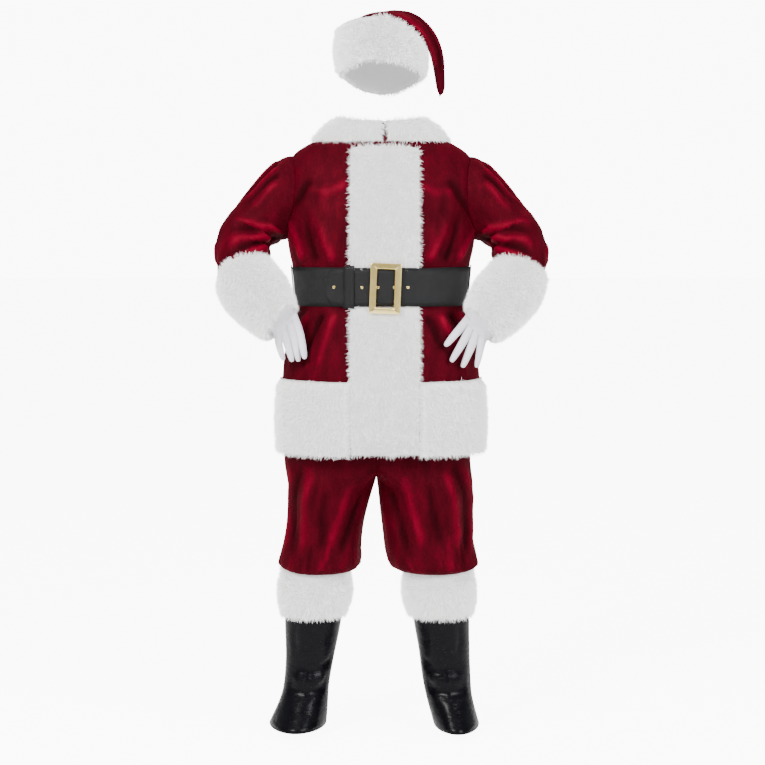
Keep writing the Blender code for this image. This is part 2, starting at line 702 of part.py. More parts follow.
def belt_surface(x, out):
    """Middle height point on the front of the belt's tongue, and the outward direction there."""
    column = column_at(x)
    lift = belt_lift(column) + 2 * BELT_THICK + LAYER_GAP
    normal = belt_point(column, 0.5, 1.0) - belt_point(column, 0.5, 0.0)
    return belt_point(column, 0.5, lift + out), normal


def ring_frame(name, centre, normal, outer, inner, thick, look, corners=8):
    """A round ring that stands on a surface, its back face on the centre."""
    normal = normal / np.linalg.norm(normal)
    side = np.cross((0.0, 0.0, 1.0), normal)
    side /= np.linalg.norm(side)
    top = np.cross(normal, side)
    points = []
    for radius, lift in ((outer, 0.0), (outer * 0.85, thick), (inner, thick * 0.8), (inner, 0.0)):
        for step in range(corners):
            angle = 2 * math.pi * step / corners
            spoke = side * math.cos(angle) + top * math.sin(angle)
            points.append(centre + spoke * radius + normal * lift)
    faces = grid_faces(4, corners, True)
    last = 3 * corners
    for step in range(corners):
        after = (step + 1) % corners
        faces.append((last + step, last + after, after, step))
    return add_object(name, np.array(points), faces, look)


for number, x in enumerate(EYELETS_X, 1):
    centre, normal = belt_surface(x, EYELET_CLEAR)
    ring_frame(f"belt_eyelet_{number}", centre, normal, *EYELET_SIZE, brass)


def loop_point(column, share, reach, out):
    """A point on a loop: shares past 0 and 1 reach beyond the belt's edges."""
    inside = min(1.0, max(0.0, share))
    return belt_point(column, inside, out) + np.array([0.0, 0.0, (share - inside) * reach])


def band_loop(name, column, half_width, layers, look):
    """A strip over one or two layers of the belt, turned in past its two edges."""
    rows = []
    for height_share, lift in LOOP_PATH:
        row = []
        for place in (column - half_width, column, column + half_width):
            out = belt_lift(place) + layers * (BELT_THICK + LAYER_GAP) + LOOP_THICK + SEAM_GAP
            row.append(loop_point(place, height_share, LOOP_REACH, lift * out))
        rows.append(row)
    points, faces = walled(np.vstack(rows), grid_faces(len(LOOP_PATH), 3, False), LOOP_THICK)
    return add_object(name, points, faces, look)


band_loop("belt_keeper", column_at(KEEPER_X), 0.55, 2, leather)
band_loop("belt_loop_right", 0.0, 0.16, 1, velvet)
band_loop("belt_loop_left", front_column * 2.0 - 1.0, 0.16, 1, velvet)

# The buckle is a flat frame in front of the belt.
frame_points, frame_faces = [], []
lean = math.radians(BUCKLE_LEAN)
for depth in (0.0, BUCKLE_THICK):
    for inset in (0.0, 1.0):
        for sign_x, sign_z in ((-1, -1), (1, -1), (1, 1), (-1, 1)):
            flat_x = sign_x * (BUCKLE_SIZE[0] / 2 - inset * BUCKLE_BAR[0])
            flat_z = sign_z * (BUCKLE_SIZE[1] / 2 - inset * BUCKLE_BAR[1])
            x = BUCKLE_CENTRE[0] + flat_x * math.cos(lean) + flat_z * math.sin(lean)
            z = BUCKLE_CENTRE[2] - flat_x * math.sin(lean) + flat_z * math.cos(lean)
            frame_points.append((x, BUCKLE_CENTRE[1] - depth, z))
for step in range(4):
    after = (step + 1) % 4
    frame_faces += [
        (8 + step, 8 + after, 12 + after, 12 + step),
        (after, step, 4 + step, 4 + after),
        (step, after, 8 + after, 8 + step),
        (4 + after, 4 + step, 12 + step, 12 + after),
    ]
buckle = add_object("belt_buckle", frame_points, frame_faces, brass)
edges = buckle.modifiers.new("Edges", "BEVEL")
edges.width, edges.segments = 0.0014, 1

LEG_OUTSIDE, LEG_INSIDE = 14, 4


def trouser_half(name, side, stations):
    """One leg with its half of the seat, open at the waist and below the knee."""
    grow = 1.0 if side > 0 else -1.0
    waist = []
    for step in range(LEG_OUTSIDE + 1):
        degrees = 180.0 * step / LEG_OUTSIDE
        inward = VELVET + (WAIST_GAPS[0] if degrees < 80 else WAIST_GAPS[1])
        point = torso_out(degrees * grow, WAIST_HEIGHT, -inward)
        if step in (0, LEG_OUTSIDE):
            point = point * (0.0, 1.0, 1.0) + (grow * SEAM_GAP, 0.0, 0.0)
        waist.append(tuple(point))
    upper = [waist]
    for height, half, depth in SEAT:
        centre = CROTCH_X * min(1.0, (1.05 - height) / 0.3)
        row = []
        for step in range(LEG_OUTSIDE + 1):
            angle = math.pi * step / LEG_OUTSIDE
            raised = fold_height(math.degrees(angle), height, LEG_FOLDS, math.pi / 180 * 0.12)
            across = (half + raised) * math.sin(angle) ** 0.9 if 0 < step < LEG_OUTSIDE else 0.0
            row.append((centre + grow * (SEAM_GAP + across), -(depth + raised) * math.cos(angle), height))
        upper.append(row)
    front, back = np.array(upper[-1][0]), np.array(upper[-1][-1])
    crotch = []
    for step in range(1, LEG_INSIDE + 1):
        share = step / (LEG_INSIDE + 1)
        point = back + (front - back) * share
        point[2] -= 0.022 * math.sin(math.pi * share)
        crotch.append(tuple(point))
    lower = [upper[-1] + crotch]
    for height, centre_x, centre_y, half, depth in stations:
        row = []
        for step in range(LEG_OUTSIDE + 1 + LEG_INSIDE):
            if step <= LEG_OUTSIDE:
                degrees = -50 + 280 * step / LEG_OUTSIDE
            else:
                degrees = 230 + 80 * (step - LEG_OUTSIDE) / (LEG_INSIDE + 1)
            angle = math.radians(degrees)
            raised = fold_height(degrees, height, LEG_FOLDS, math.pi / 180 * 0.12)
            x = centre_x + grow * (half + raised) * math.sin(angle)
            row.append((x, centre_y - (depth + raised) * math.cos(angle), height))
        lower.append(row)
    width = LEG_OUTSIDE + 1
    points = [point for row in upper for point in row]
    faces = grid_faces(len(upper), width, False)
    joined = [list(range((len(upper) - 1) * width, len(upper) * width))]
    joined[0] += list(range(len(points), len(points) + LEG_INSIDE))
    points += crotch
    for row in lower[1:]:
        joined.append(list(range(len(points), len(points) + len(row))))
        points += row
    for above, below in zip(joined, joined[1:]):
        for step in range(len(above)):
            after = (step + 1) % len(above)
            faces.append((above[step], above[after], below[after]))
            faces.append((above[step], below[after], below[step]))
    if side > 0:
        faces = [tuple(reversed(face)) for face in faces]
    return add_object(name, *walled(np.array(points), faces, VELVET), velvet)


trouser_half("trouser_leg_right", -1, LEG_RIGHT)
trouser_half("trouser_leg_left", 1, LEG_LEFT)

BOOT_COLUMNS = 16


def boot_ring(stations, height):
    """A ring of a boot top at a height, read between its stations."""
    table = np.array(stations)[::-1]
    centre_x, centre_y, half, front, back = (np.interp(height, table[:, 0], table[:, c]) for c in range(1, 6))
    ring = []
    for step in range(BOOT_COLUMNS):
        angle = 2 * math.pi * step / BOOT_COLUMNS
        depth = front if math.cos(angle) > 0 else back
        ring.append((centre_x + half * math.sin(angle), centre_y - depth * math.cos(angle), height))
    return np.array(ring)


for side, stations in {"right": BOOT_RIGHT, "left": BOOT_LEFT}.items():
    top = stations[0][0]
    heights = [row[0] for row in reversed(stations) if row[0] < BOOT_FUR_HEIGHTS[0]]
    heights += [height for height in BOOT_FUR_HEIGHTS if height <= top]
    rings = [boot_ring(stations, height) for height in heights]
    faces = grid_faces(len(rings), BOOT_COLUMNS, True)
    add_object(f"boot_top_{side}", *walled(np.vstack(rings), faces, VINYL), vinyl)
    rings = [boot_ring(stations, height) for height in BOOT_FUR_HEIGHTS]
    depths = pile(len(rings), 0.007, 0.0245)
    fur_band(f"boot_fur_{side}", rings, range(len(rings)), True, depths, fur)

# Hat: a crown that falls to the wearer's left over its fur brim.
crown_rings = station_rings(CROWN, [], BOOT_COLUMNS)
faces = grid_faces(len(crown_rings), BOOT_COLUMNS, True)
points, faces = walled(np.vstack(crown_rings), faces, np.repeat(CROWN_WALL, BOOT_COLUMNS))
add_object("hat_crown", points, faces, velvet)

BRIM_COLUMNS = 24
brim_table = np.array(BRIM + [(360, BRIM[0][1], BRIM[0][2])])
brim_rings = []
for share in np.linspace(0.0, 1.0, 6):
    ring = []
    for step in range(BRIM_COLUMNS):
        degrees = 360 * step / BRIM_COLUMNS
        quarter = int(degrees // 90)
        blend = (1 - math.cos(math.pi * (degrees / 90 - quarter))) / 2
        low, high = brim_table[quarter, 1:] * (1 - blend) + brim_table[quarter + 1, 1:] * blend
        angle = math.radians(degrees)
        x, y = BRIM_HALF[0] * math.sin(angle), -BRIM_HALF[1] * math.cos(angle)
        ring.append((x, y, low + (high - low) * share))
    brim_rings.append(np.array(ring))
fur_band("hat_brim_fur", brim_rings, range(6), True, pile(6, 0.007, BRIM_PILE), fur)


def front_of_jacket(x, height, clear):
    """Y of a point that stands this clear of the jacket's front."""
    half, front = (np.interp(height, TORSO[:, 0], TORSO[:, column]) for column in (1, 2))
    share = min(0.98, abs(x) / (half + clear))
    return -(front + clear) * (1 - share**TORSO_POWER) ** (1 / TORSO_POWER)


def tube_rings(spine, radii, corners):
    """Rings round a spine; the first axis of each lies across the front view."""
    spine = np.array(spine, float)
    runs = np.gradient(spine, axis=0)
    rings = []
    for centre, run, radius in zip(spine, runs, radii):
        run = run / np.linalg.norm(run)
        wide = np.cross((0.0, 1.0, 0.0), run)
        wide /= np.linalg.norm(wide)
        deep = np.cross(run, wide)
        ring = []
        for step in range(corners):
            angle = 2 * math.pi * (step + 0.5) / corners
            ring.append(centre + wide * radius * math.cos(angle) + deep * radius * math.sin(angle))
        rings.append(np.array(ring))
    return rings


def finger_rings(points, shrink, root):
    """Rings of one finger with a rounded tip; shrink makes the hollow inside it."""
    spine = [np.array(point[:3]) for point in points]
    spine.insert(0, spine[0] + (spine[0] - spine[1]) / np.linalg.norm(spine[0] - spine[1]) * root)
    radii = [points[0][3] * 0.9 - shrink] + [point[3] - shrink for point in points]
    tip_run = spine[-1] - spine[-2]
    tip_run /= np.linalg.norm(tip_run)
    spine.append(spine[-1] + tip_run * radii[-1] * 0.75)
    radii.append(radii[-1] * 0.45)
    return tube_rings(spine, radii, FINGER_CORNERS[1] if shrink else FINGER_CORNERS[0])


def palm_rings(sleeve, roots, shrink, beyond):
    """Rings of a glove's palm, from inside the sleeve to the roots of the fingers."""
    rings = []
    for ring, (wide_scale, half_deep) in zip(sleeve[-3:-1], PALM_IN_SLEEVE):
        centre = ring.mean(axis=0)
        wide = (ring[0] - ring[len(ring) // 2]) / 2
        reach = np.linalg.norm(wide)
        wide = wide / reach
        half_wide = (reach - VELVET - 0.0007) * wide_scale - shrink
        deep = ring[len(ring) // 4] - centre
        deep = deep - wide * (deep @ wide)
        deep = deep / np.linalg.norm(deep) * (half_deep - shrink)
        made = [
            centre + wide * half_wide * math.cos(angle) + deep * math.sin(angle)
            for angle in np.linspace(0, 2 * math.pi, PALM_CORNERS, endpoint=False)
        ]
        rings.append(np.array(made))
    roots = np.array(roots)
    centre = roots.mean(axis=0)
    wide = roots[-1] - roots[0]
    wide = wide / np.linalg.norm(wide)
    if wide @ (rings[-1][0] - rings[-1][PALM_CORNERS // 2]) < 0:
        wide = -wide
    deep = np.array([0.0, 1.0, 0.0]) - wide * wide[1]
    if deep @ (rings[-1][PALM_CORNERS // 4] - rings[-1][3 * PALM_CORNERS // 4]) < 0:
        deep = -deep
    half_wide = np.linalg.norm(roots[-1] - roots[0]) / 2 + KNUCKLE_SIDE - shrink
    knuckles = [
        centre + wide * half_wide * math.cos(angle) + deep * (KNUCKLE_HALF_DEPTH - shrink) * math.sin(angle)
        for angle in np.linspace(0, 2 * math.pi, PALM_CORNERS, endpoint=False)
    ]
    back = rings[-1].mean(axis=0) - centre
    knuckles = np.array(knuckles) + back / np.linalg.norm(back) * shrink * 1.4
    rings += [rings[-1] * 0.45 + knuckles * 0.55, knuckles]
    if beyond:
        rings[0] = rings[0] + (rings[0].mean(axis=0) - rings[1].mean(axis=0)) * beyond
    return rings


def glove(name, sleeve, table, thumb):
    """A hollow glove: palm and fingers joined, less the same shapes one cloth thinner."""
    fingers = []
    for row in table:
        made = []
        for place, (x, height, radius) in enumerate(row):
            y = min(front_of_jacket(x, height, radius + HAND_CLEAR), -0.150 + 0.008 * place)
            made.append((x, y, height, radius))
        fingers.append(made)
    roots = [finger[0][:3] for finger in fingers]
    palm_middle = sleeve[-2].mean(axis=0) * 0.3 + np.mean(roots, axis=0) * 0.7
    fingers.append([(*palm_middle, thumb[0][3])] + thumb)
    bodies = []
    for shrink in (0.0, GLOVE_CLOTH):
        palm_body = solid_tube(palm_rings(sleeve, roots, shrink, 0.3 if shrink else 0.0))
        palm = add_object(name, *outward(palm_body), glove_cloth)
        for number, finger in enumerate(fingers):
            root = FINGER_ROOT if number < len(table) else THUMB_ROOT
            finger_body = solid_tube(finger_rings(finger, shrink * FINGER_WALL, root))
            other = add_object(f"{name}_{number}", *outward(finger_body), glove_cloth)
            boolean(palm, other, "UNION")
            applied(palm)
        bodies.append(palm)
    boolean(bodies[0], bodies[1], "DIFFERENCE")
    applied(bodies[0])
    bodies[0].data.shade_smooth()


def outward(body):
    """The body with its faces turned to face out."""
    points, faces = body
    volume = 0.0
    for face in faces:
        for second, third in zip(face[1:], face[2:]):
            volume += points[face[0]] @ np.cross(points[second], points[third])
    return (points, faces) if volume > 0 else (points, [tuple(reversed(face)) for face in faces])


glove("glove_right", sleeve_rings["right"], FINGERS_RIGHT, THUMB_RIGHT)
glove("glove_left", sleeve_rings["left"], FINGERS_LEFT, THUMB_LEFT)
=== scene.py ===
import math

import bmesh
import bpy
import numpy as np
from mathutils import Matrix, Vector, noise
from mathutils.bvhtree import BVHTree


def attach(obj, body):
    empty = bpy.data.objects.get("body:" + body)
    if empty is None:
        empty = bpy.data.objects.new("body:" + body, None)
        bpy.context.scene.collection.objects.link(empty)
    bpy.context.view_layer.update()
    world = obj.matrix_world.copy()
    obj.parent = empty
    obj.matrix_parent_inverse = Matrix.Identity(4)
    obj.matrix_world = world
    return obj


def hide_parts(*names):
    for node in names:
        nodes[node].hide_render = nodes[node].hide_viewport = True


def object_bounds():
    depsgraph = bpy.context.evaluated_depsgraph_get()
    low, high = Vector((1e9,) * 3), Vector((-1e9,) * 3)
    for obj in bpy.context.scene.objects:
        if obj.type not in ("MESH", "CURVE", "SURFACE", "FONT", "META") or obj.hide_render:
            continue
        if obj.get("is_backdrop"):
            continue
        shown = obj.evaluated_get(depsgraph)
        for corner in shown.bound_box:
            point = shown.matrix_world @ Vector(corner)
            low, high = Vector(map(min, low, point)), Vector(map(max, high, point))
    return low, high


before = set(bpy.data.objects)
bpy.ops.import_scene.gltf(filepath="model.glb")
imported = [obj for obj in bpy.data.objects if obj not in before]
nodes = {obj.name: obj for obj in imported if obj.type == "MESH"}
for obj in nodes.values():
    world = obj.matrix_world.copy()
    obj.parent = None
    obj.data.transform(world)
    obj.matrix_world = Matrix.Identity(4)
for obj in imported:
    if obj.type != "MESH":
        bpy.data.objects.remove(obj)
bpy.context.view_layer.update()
shoulderHeight = 1.46  # heights below are above the floor, the frame's origin is at the shoulders
scene = bpy.context.scene


def fromFloor(rows):
    return np.array(rows, float) - (0.0, 0.0, shoulderHeight)


# paths that run through the hollow of each tube of cloth
trunkPath = fromFloor([(0, 0, 0.70), (0, 0, 1.56)])
headPath = fromFloor([(0, 0, 1.62), (0, 0, 1.83)])
sleevePoints = [
    (0.199, 0.000, 1.366), (0.254, 0.000, 1.353), (0.304, -0.002, 1.309), (0.342, -0.018, 1.263),
    (0.349, -0.045, 1.219), (0.344, -0.075, 1.172), (0.317, -0.104, 1.126), (0.267, -0.142, 1.070),
    (0.215, -0.156, 1.010),
]
sleevePaths = {
    "left": fromFloor(sleevePoints),
    "right": fromFloor([(-x, y, z + 0.002) for x, y, z in sleevePoints]),
}
legPaths = {
    "left": fromFloor([(0.147, -0.016, 0.36), (0.144, -0.015, 0.434), (0.134, -0.010, 0.445),
                       (0.119, -0.006, 0.50), (0.113, 0.0, 0.64), (0.105, 0.0, 1.10)]),
    "right": fromFloor([(-0.168, -0.016, 0.36), (-0.165, -0.015, 0.434), (-0.157, -0.010, 0.445),
                        (-0.146, -0.006, 0.50), (-0.126, 0.0, 0.64), (-0.100, 0.0, 1.10)]),
}
bootPaths = {
    "left": fromFloor([(0.193, -0.020, 0.0), (0.172, 0.0, 0.10), (0.163, 0.0, 0.19),
                       (0.151, -0.012, 0.31), (0.146, -0.016, 0.45)]),
    "right": fromFloor([(-0.213, -0.020, 0.0), (-0.193, 0.0, 0.10), (-0.182, 0.0, 0.19),
                        (-0.172, -0.012, 0.31), (-0.168, -0.016, 0.45)]),
}
crownPath = fromFloor([
    (0, 0, 1.69), (-0.001, 0, 1.748), (0.006, 0, 1.775), (0.022, 0, 1.793), (0.045, 0, 1.802),
    (0.072, 0, 1.797), (0.1, 0, 1.782), (0.123, 0, 1.757), (0.138, 0, 1.728), (0.146, 0, 1.695),
    (0.151, 0, 1.645), (0.152, 0, 1.61),
])


# where a point lies on a tube: degrees round it (0 is the front), length along it, and the way out
class TubePlace:
    def __init__(self, points, path, byHeight=False):
        steps = np.diff(path, axis=0)
        lengths = np.linalg.norm(steps, axis=1)
        starts = np.concatenate([[0.0], np.cumsum(lengths)])
        tangents = np.zeros_like(path)
        tangents[:-1] += steps / lengths[:, None]
        tangents[1:] += steps / lengths[:, None]
        best = np.full(len(points), np.inf)
        nearest, tangent = np.zeros_like(points), np.zeros_like(points)
        self.along = np.zeros(len(points))
        for i, step in enumerate(steps):
            share = np.clip(((points - path[i]) @ step) / lengths[i] ** 2, 0, 1)
            near = path[i] + share[:, None] * step
            gap = np.linalg.norm(points - near, axis=1)
            closer = gap < best
            best[closer] = gap[closer]
            nearest[closer] = near[closer]
            self.along[closer] = (starts[i] + share * lengths[i])[closer]
            mixed = tangents[i] * (1 - share[:, None]) + tangents[i + 1] * share[:, None]
            tangent[closer] = mixed[closer]
        tangent /= np.linalg.norm(tangent, axis=1)[:, None]
        offset = points - nearest
        offset -= (offset * tangent).sum(1)[:, None] * tangent
        self.radius = np.maximum(np.linalg.norm(offset, axis=1), 1e-5)
        self.out = offset / self.radius[:, None]
        front = np.array([0.0, -1.0, 0.0]) + tangent[:, 1:2] * tangent
        front /= np.linalg.norm(front, axis=1)[:, None]
        side = np.cross(tangent, front)
        self.degrees = np.degrees(np.arctan2((self.out * side).sum(1), (self.out * front).sum(1)))
        if byHeight:
            self.along = points[:, 2] + shoulderHeight


def smoothStep(low, high, value):
    share = np.clip((value - low) / (high - low), 0, 1)
    return share * share * (3 - 2 * share)


# each crease: its (degrees, along) points, width, height at its start and at its end
def creaseLift(place, creases):
    lift = np.zeros(len(place.degrees))
    for path, width, first, last in creases:
        path = np.array(path, float)
        turned = np.cumsum(np.concatenate([[0.0], np.diff(path[:, 0])]))
        away = (path[0, 0] - place.degrees + 180) % 360 - 180
        spans = np.hypot(np.radians(np.diff(path[:, 0])) * np.median(place.radius), np.diff(path[:, 1]))
        ends = np.concatenate([[0.0], np.cumsum(spans)]) / spans.sum()
        distance, share = np.full(len(lift), np.inf), np.zeros(len(lift))
        for i in range(len(path) - 1):
            startX = np.radians(away + turned[i]) * place.radius
            stepX = np.radians(turned[i + 1] - turned[i]) * place.radius
            startY, stepY = path[i, 1] - place.along, path[i + 1, 1] - path[i, 1]
            size = stepX**2 + stepY**2 + 1e-12
            part = np.clip(-(startX * stepX + startY * stepY) / size, 0, 1)
            gap = np.hypot(startX + part * stepX, startY + part * stepY)
            closer = gap < distance
            distance[closer] = gap[closer]
            share[closer] = (ends[i] + part * (ends[i + 1] - ends[i]))[closer]
        shape = (distance / width) ** 2
        ease = smoothStep(0, 0.16, share) * smoothStep(0, 0.2, 1 - share)
        lift += (first + (last - first) * share) * ease * (1 - 0.45 * shape) * np.exp(-shape)
    return lift


# fine uneven rumples, long along the tube
def rumples(place, size, reach, seed):
    angle = np.radians(place.degrees)
    spots = np.column_stack([
        np.cos(angle) * place.radius / size,
        np.sin(angle) * place.radius / size,
        place.along / (size * reach),
    ]) + seed
    return np.array([noise.noise(Vector(spot)) for spot in spots])


def meshPoints(mesh):
    points = np.empty(len(mesh.vertices) * 3, np.float32)
    mesh.vertices.foreach_get("co", points)
    return points.reshape(-1, 3).astype(float)


def setPoints(mesh, points):
    mesh.vertices.foreach_set("co", np.asarray(points, np.float32).ravel())
    mesh.update()


def meshNormals(mesh):
    normals = np.empty(len(mesh.vertices) * 3, np.float32)
    mesh.vertex_normals.foreach_get("vector", normals)
    return normals.reshape(-1, 3).astype(float)


def keepField(mesh, name, values):
    field = mesh.attributes.new(name, "FLOAT", "POINT")
    field.data.foreach_set("value", np.asarray(values, np.float32))


def plainMesh(obj, name):
    graph = bpy.context.evaluated_depsgraph_get()
    made = bpy.data.meshes.new_from_object(obj.evaluated_get(graph), depsgraph=graph)
    made.name = name
    obj.modifiers.clear()
    old = obj.data
    obj.data = made
    bpy.data.meshes.remove(old)
    return made


copyChoice = {"weld": 0.00002, "flatWithin": 40, "squareWithin": 170, "sharpFrom": 60}


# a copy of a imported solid, its triangles joined to quads and made finer
def finerCopy(nodeName, pieceName, levels, sharpFrom=copyChoice["sharpFrom"]):
    mesh = nodes[nodeName].data.copy()
    mesh.name = pieceName
    shape = bmesh.new()
    shape.from_mesh(mesh)
    bmesh.ops.remove_doubles(shape, verts=shape.verts, dist=copyChoice["weld"])
    bmesh.ops.join_triangles(
        shape, faces=shape.faces, angle_face_threshold=math.radians(copyChoice["flatWithin"]),
        angle_shape_threshold=math.radians(copyChoice["squareWithin"]),
    )
    held = shape.edges.layers.float.new("crease_edge")  # the cut edges of a wall stay where they are
    for edge in shape.edges:
        if edge.calc_face_angle(0) > math.radians(sharpFrom):
            edge[held] = 1.0
    shape.to_mesh(mesh)
    shape.free()
    mesh.materials.clear()
    piece = bpy.data.objects.new(pieceName, mesh)
    scene.collection.objects.link(piece)
    if levels:
        finer = piece.modifiers.new("finer", "SUBSURF")
        finer.levels = finer.render_levels = levels
        bpy.context.view_layer.update()
        plainMesh(piece, pieceName)
    piece.data.shade_smooth()
    return piece


def clothArea(piece):
    return sum(face.area for face in piece.data.polygons) / 2


# a wrapped socket, so that shader maths reads as sums
class Socket:
    def __init__(self, look, socket):
        self.look, self.socket = look, socket

    def maths(self, operation, first, second):
        return self.look.node("ShaderNodeMath", {"operation": operation}, {0: first, 1: second})

    def __add__(self, other):
        return self.maths("ADD", self, other)

    def __mul__(self, other):
        return self.maths("MULTIPLY", self, other)

    def __sub__(self, other):
        return self.maths("SUBTRACT", self, other)

    def __rsub__(self, other):
        return self.maths("SUBTRACT", other, self)

    def __pow__(self, other):
        return self.maths("POWER", self, other)

    __radd__ = __add__
    __rmul__ = __mul__


class Look:
    def __init__(self, name, colour, fixed):
        self.material = bpy.data.materials.new(name)
        self.material.use_nodes = True
        self.material.diffuse_color = (*colour, 1.0)
        self.tree = self.material.node_tree
        self.shader = self.tree.nodes["Principled BSDF"]
        self.shader.inputs["Base Color"].default_value = (*colour, 1.0)
        for socket, value in fixed.items():
            self.shader.inputs[socket].default_value = value
        self.coords = self.node("ShaderNodeTexCoord", {}, {}, "Object")

    def node(self, kind, settings, values, out=0):
        made = self.tree.nodes.new(kind)
        for key, value in settings.items():
            if key == "stops":
                self.setStops(made.color_ramp, value)
            else:
                setattr(made, key, value)
        for key, value in values.items():
            if isinstance(value, Socket):
                self.tree.links.new(value.socket, made.inputs[key])
            else:
                made.inputs[key].default_value = value
        return Socket(self, made.outputs[out])

    def setStops(self, ramp, stops):
        while len(ramp.elements) < len(stops):
            ramp.elements.new(0.5)
        for element, (place, colour) in zip(ramp.elements, stops):
            element.position = place
            element.color = (*colour, 1.0)

    def stretched(self, scale, turn=(0, 0, 0)):
        return self.node("ShaderNodeMapping", {}, {"Vector": self.coords, "Scale": scale, "Rotation": turn})

    def grain(self, scale, detail=3.0, rough=0.5, where=None):
        values = {"Vector": where or self.coords, "Scale": scale, "Detail": detail, "Roughness": rough}
        return self.node("ShaderNodeTexNoise", {"noise_dimensions": "3D"}, values)

    def field(self, name):
        return self.node("ShaderNodeAttribute", {"attribute_name": name}, {}, "Fac")

    def between(self, low, high, value):
        values = {"Value": value, "From Min": low, "From Max": high}
        return self.node("ShaderNodeMapRange", {"clamp": True, "interpolation_type": "SMOOTHSTEP"}, values)

    def mixed(self, share, first, second):
        values = {0: share, 6: first, 7: second}
        return self.node("ShaderNodeMix", {"data_type": "RGBA"}, values, 2)

    def finish(self, socket, value):
        self.tree.links.new(value.socket, self.shader.inputs[socket])

    def relief(self, parts):
        normal = None
        for height, depth in parts:
            values = {"Height": height, "Strength": 1.0, "Distance": depth}
            if normal:
                values["Normal"] = normal
            normal = self.node("ShaderNodeBump", {}, values)
        self.finish("Normal", normal)


def colour(red, green, blue):
    return (red, green, blue, 1.0)


# the velvet's ramp: a painted shadow colour for the crease troughs and the dark patches of the nap, its plain
# colour, and a painted highlight colour for the crease ridges and the pale patches of the nap
velvetChoice = {
    "shadow": colour(0.015, 0.0003, 0.0015),
    "middle": colour(0.046, 0.0006, 0.0042),
    "raised": colour(0.132, 0.0012, 0.0108),
    "sheen": 0.13,
    "sheenTint": colour(1.0, 0.020, 0.075),
    "napPerMetre": 34.0,
}


def velvetLook():
    look = Look("crushed_velvet", velvetChoice["middle"][:3], {
        "Sheen Weight": velvetChoice["sheen"], "Sheen Roughness": 0.34,
        "Sheen Tint": velvetChoice["sheenTint"], "Specular IOR Level": 0.02,
    })
    crushed = look.grain(velvetChoice["napPerMetre"], 4.0, 0.60, look.stretched((1.0, 1.0, 0.36)))
    nap = look.grain(190.0, 3.0, 0.6, look.stretched((1.0, 1.0, 0.6)))
    pile = look.grain(1500.0, 2.0, 0.7)
    fold = look.field("fold")
    # the crushed and nap noise give the velvet's own uneven tone; the crease height paints shade into the
    # troughs and a highlight onto the ridges
    light = look.between(0.22, 0.86, crushed * 0.32 + nap * 0.14 + fold * 0.56 - 0.03)
    ramp = look.node("ShaderNodeValToRGB", {"stops": [
        (0.0, velvetChoice["shadow"][:3]), (0.42, velvetChoice["middle"][:3]),
        (1.0, velvetChoice["raised"][:3]),
    ]}, {"Fac": light})
    look.finish("Base Color", ramp)
    look.finish("Roughness", 0.66 - light * 0.16)
    look.relief([(crushed, 0.0010), (pile, 0.0003)])
    return look.material


def furLook():
    # the Emission Strength gives the fur a painted glow, though it is no lamp
    look = Look("white_fur", (0.86, 0.855, 0.85), {
        "Emission Strength": 0.58, "Roughness": 0.75, "Sheen Weight": 0.25, "Sheen Roughness": 0.5,
        "Specular IOR Level": 0.2,
    })
    tufts = look.grain(55.0, 3.0, 0.6)
    tips = look.mixed(look.between(0.3, 0.7, tufts), colour(0.90, 0.895, 0.89), colour(0.985, 0.98, 0.975))
    # the strands are painted darker at their roots, as painted shade deep in the pile, and paler at their
    # tips
    tone = look.mixed(look.between(0.0, 0.75, look.field("tip")), colour(0.62, 0.615, 0.61), tips)
    look.finish("Base Color", tone)
    look.finish("Emission Color", tone)  # painted glow: the fur's tone, with its painted darker roots, glows a little to brighten the pile
    look.relief([(look.grain(420.0, 3.0, 0.7), 0.0012)])
    return look.material


def leatherLook():
    look = Look("black_leather", (0.012, 0.012, 0.013), {"Specular IOR Level": 0.20})
    cells = look.node("ShaderNodeTexVoronoi", {"feature": "DISTANCE_TO_EDGE"}, {
        "Vector": look.coords, "Scale": 620.0,
    })
    grain = look.between(0.0, 0.28, cells)
    wear = look.grain(22.0, 4.0, 0.6)
    edge = look.field("edge")
    tone = look.mixed(wear, colour(0.0014, 0.0014, 0.0018), colour(0.0045, 0.0048, 0.0055))
    look.finish("Base Color", look.mixed(edge, tone, colour(0.0012, 0.0012, 0.0012)))
    look.finish("Roughness", 0.40 + wear * 0.16 + edge * 0.2)
    look.relief([(wear, 0.0012), (grain, 0.00016)])
    return look.material


def vinylLook():
    look = Look("boot_vinyl", (0.008, 0.008, 0.011), {"Specular IOR Level": 0.08, "Coat Roughness": 0.12})
    creased = look.grain(34.0, 4.0, 0.6, look.stretched((1.0, 1.0, 2.2)))
    fine = look.grain(700.0, 2.0, 0.6)
    tone = look.mixed(creased, colour(0.0006, 0.0006, 0.0011), colour(0.0024, 0.0024, 0.0042))
    look.finish("Base Color", tone)
    look.finish("Roughness", 0.20 + creased * 0.20)
    look.finish("Coat Weight", creased * 0.07)
    look.relief([(creased, 0.0022), (fine, 0.00006)])
    return look.material


def gloveLook():
    look = Look("glove_knit", (0.80, 0.78, 0.86), {
        "Roughness": 0.8, "Sheen Weight": 0.2, "Specular IOR Level": 0.2,
    })
    ribs = look.node("ShaderNodeTexWave", {"bands_direction": "DIAGONAL"}, {
        "Vector": look.coords, "Scale": 420.0, "Distortion": 1.2, "Detail": 1.0,
    }, "Fac")
    soft = look.grain(60.0, 3.0, 0.5)
    tone = look.mixed(soft, colour(0.70, 0.68, 0.76), colour(0.86, 0.84, 0.91))
    look.finish("Base Color", tone)
    look.relief([(ribs, 0.0003)])
    return look.material


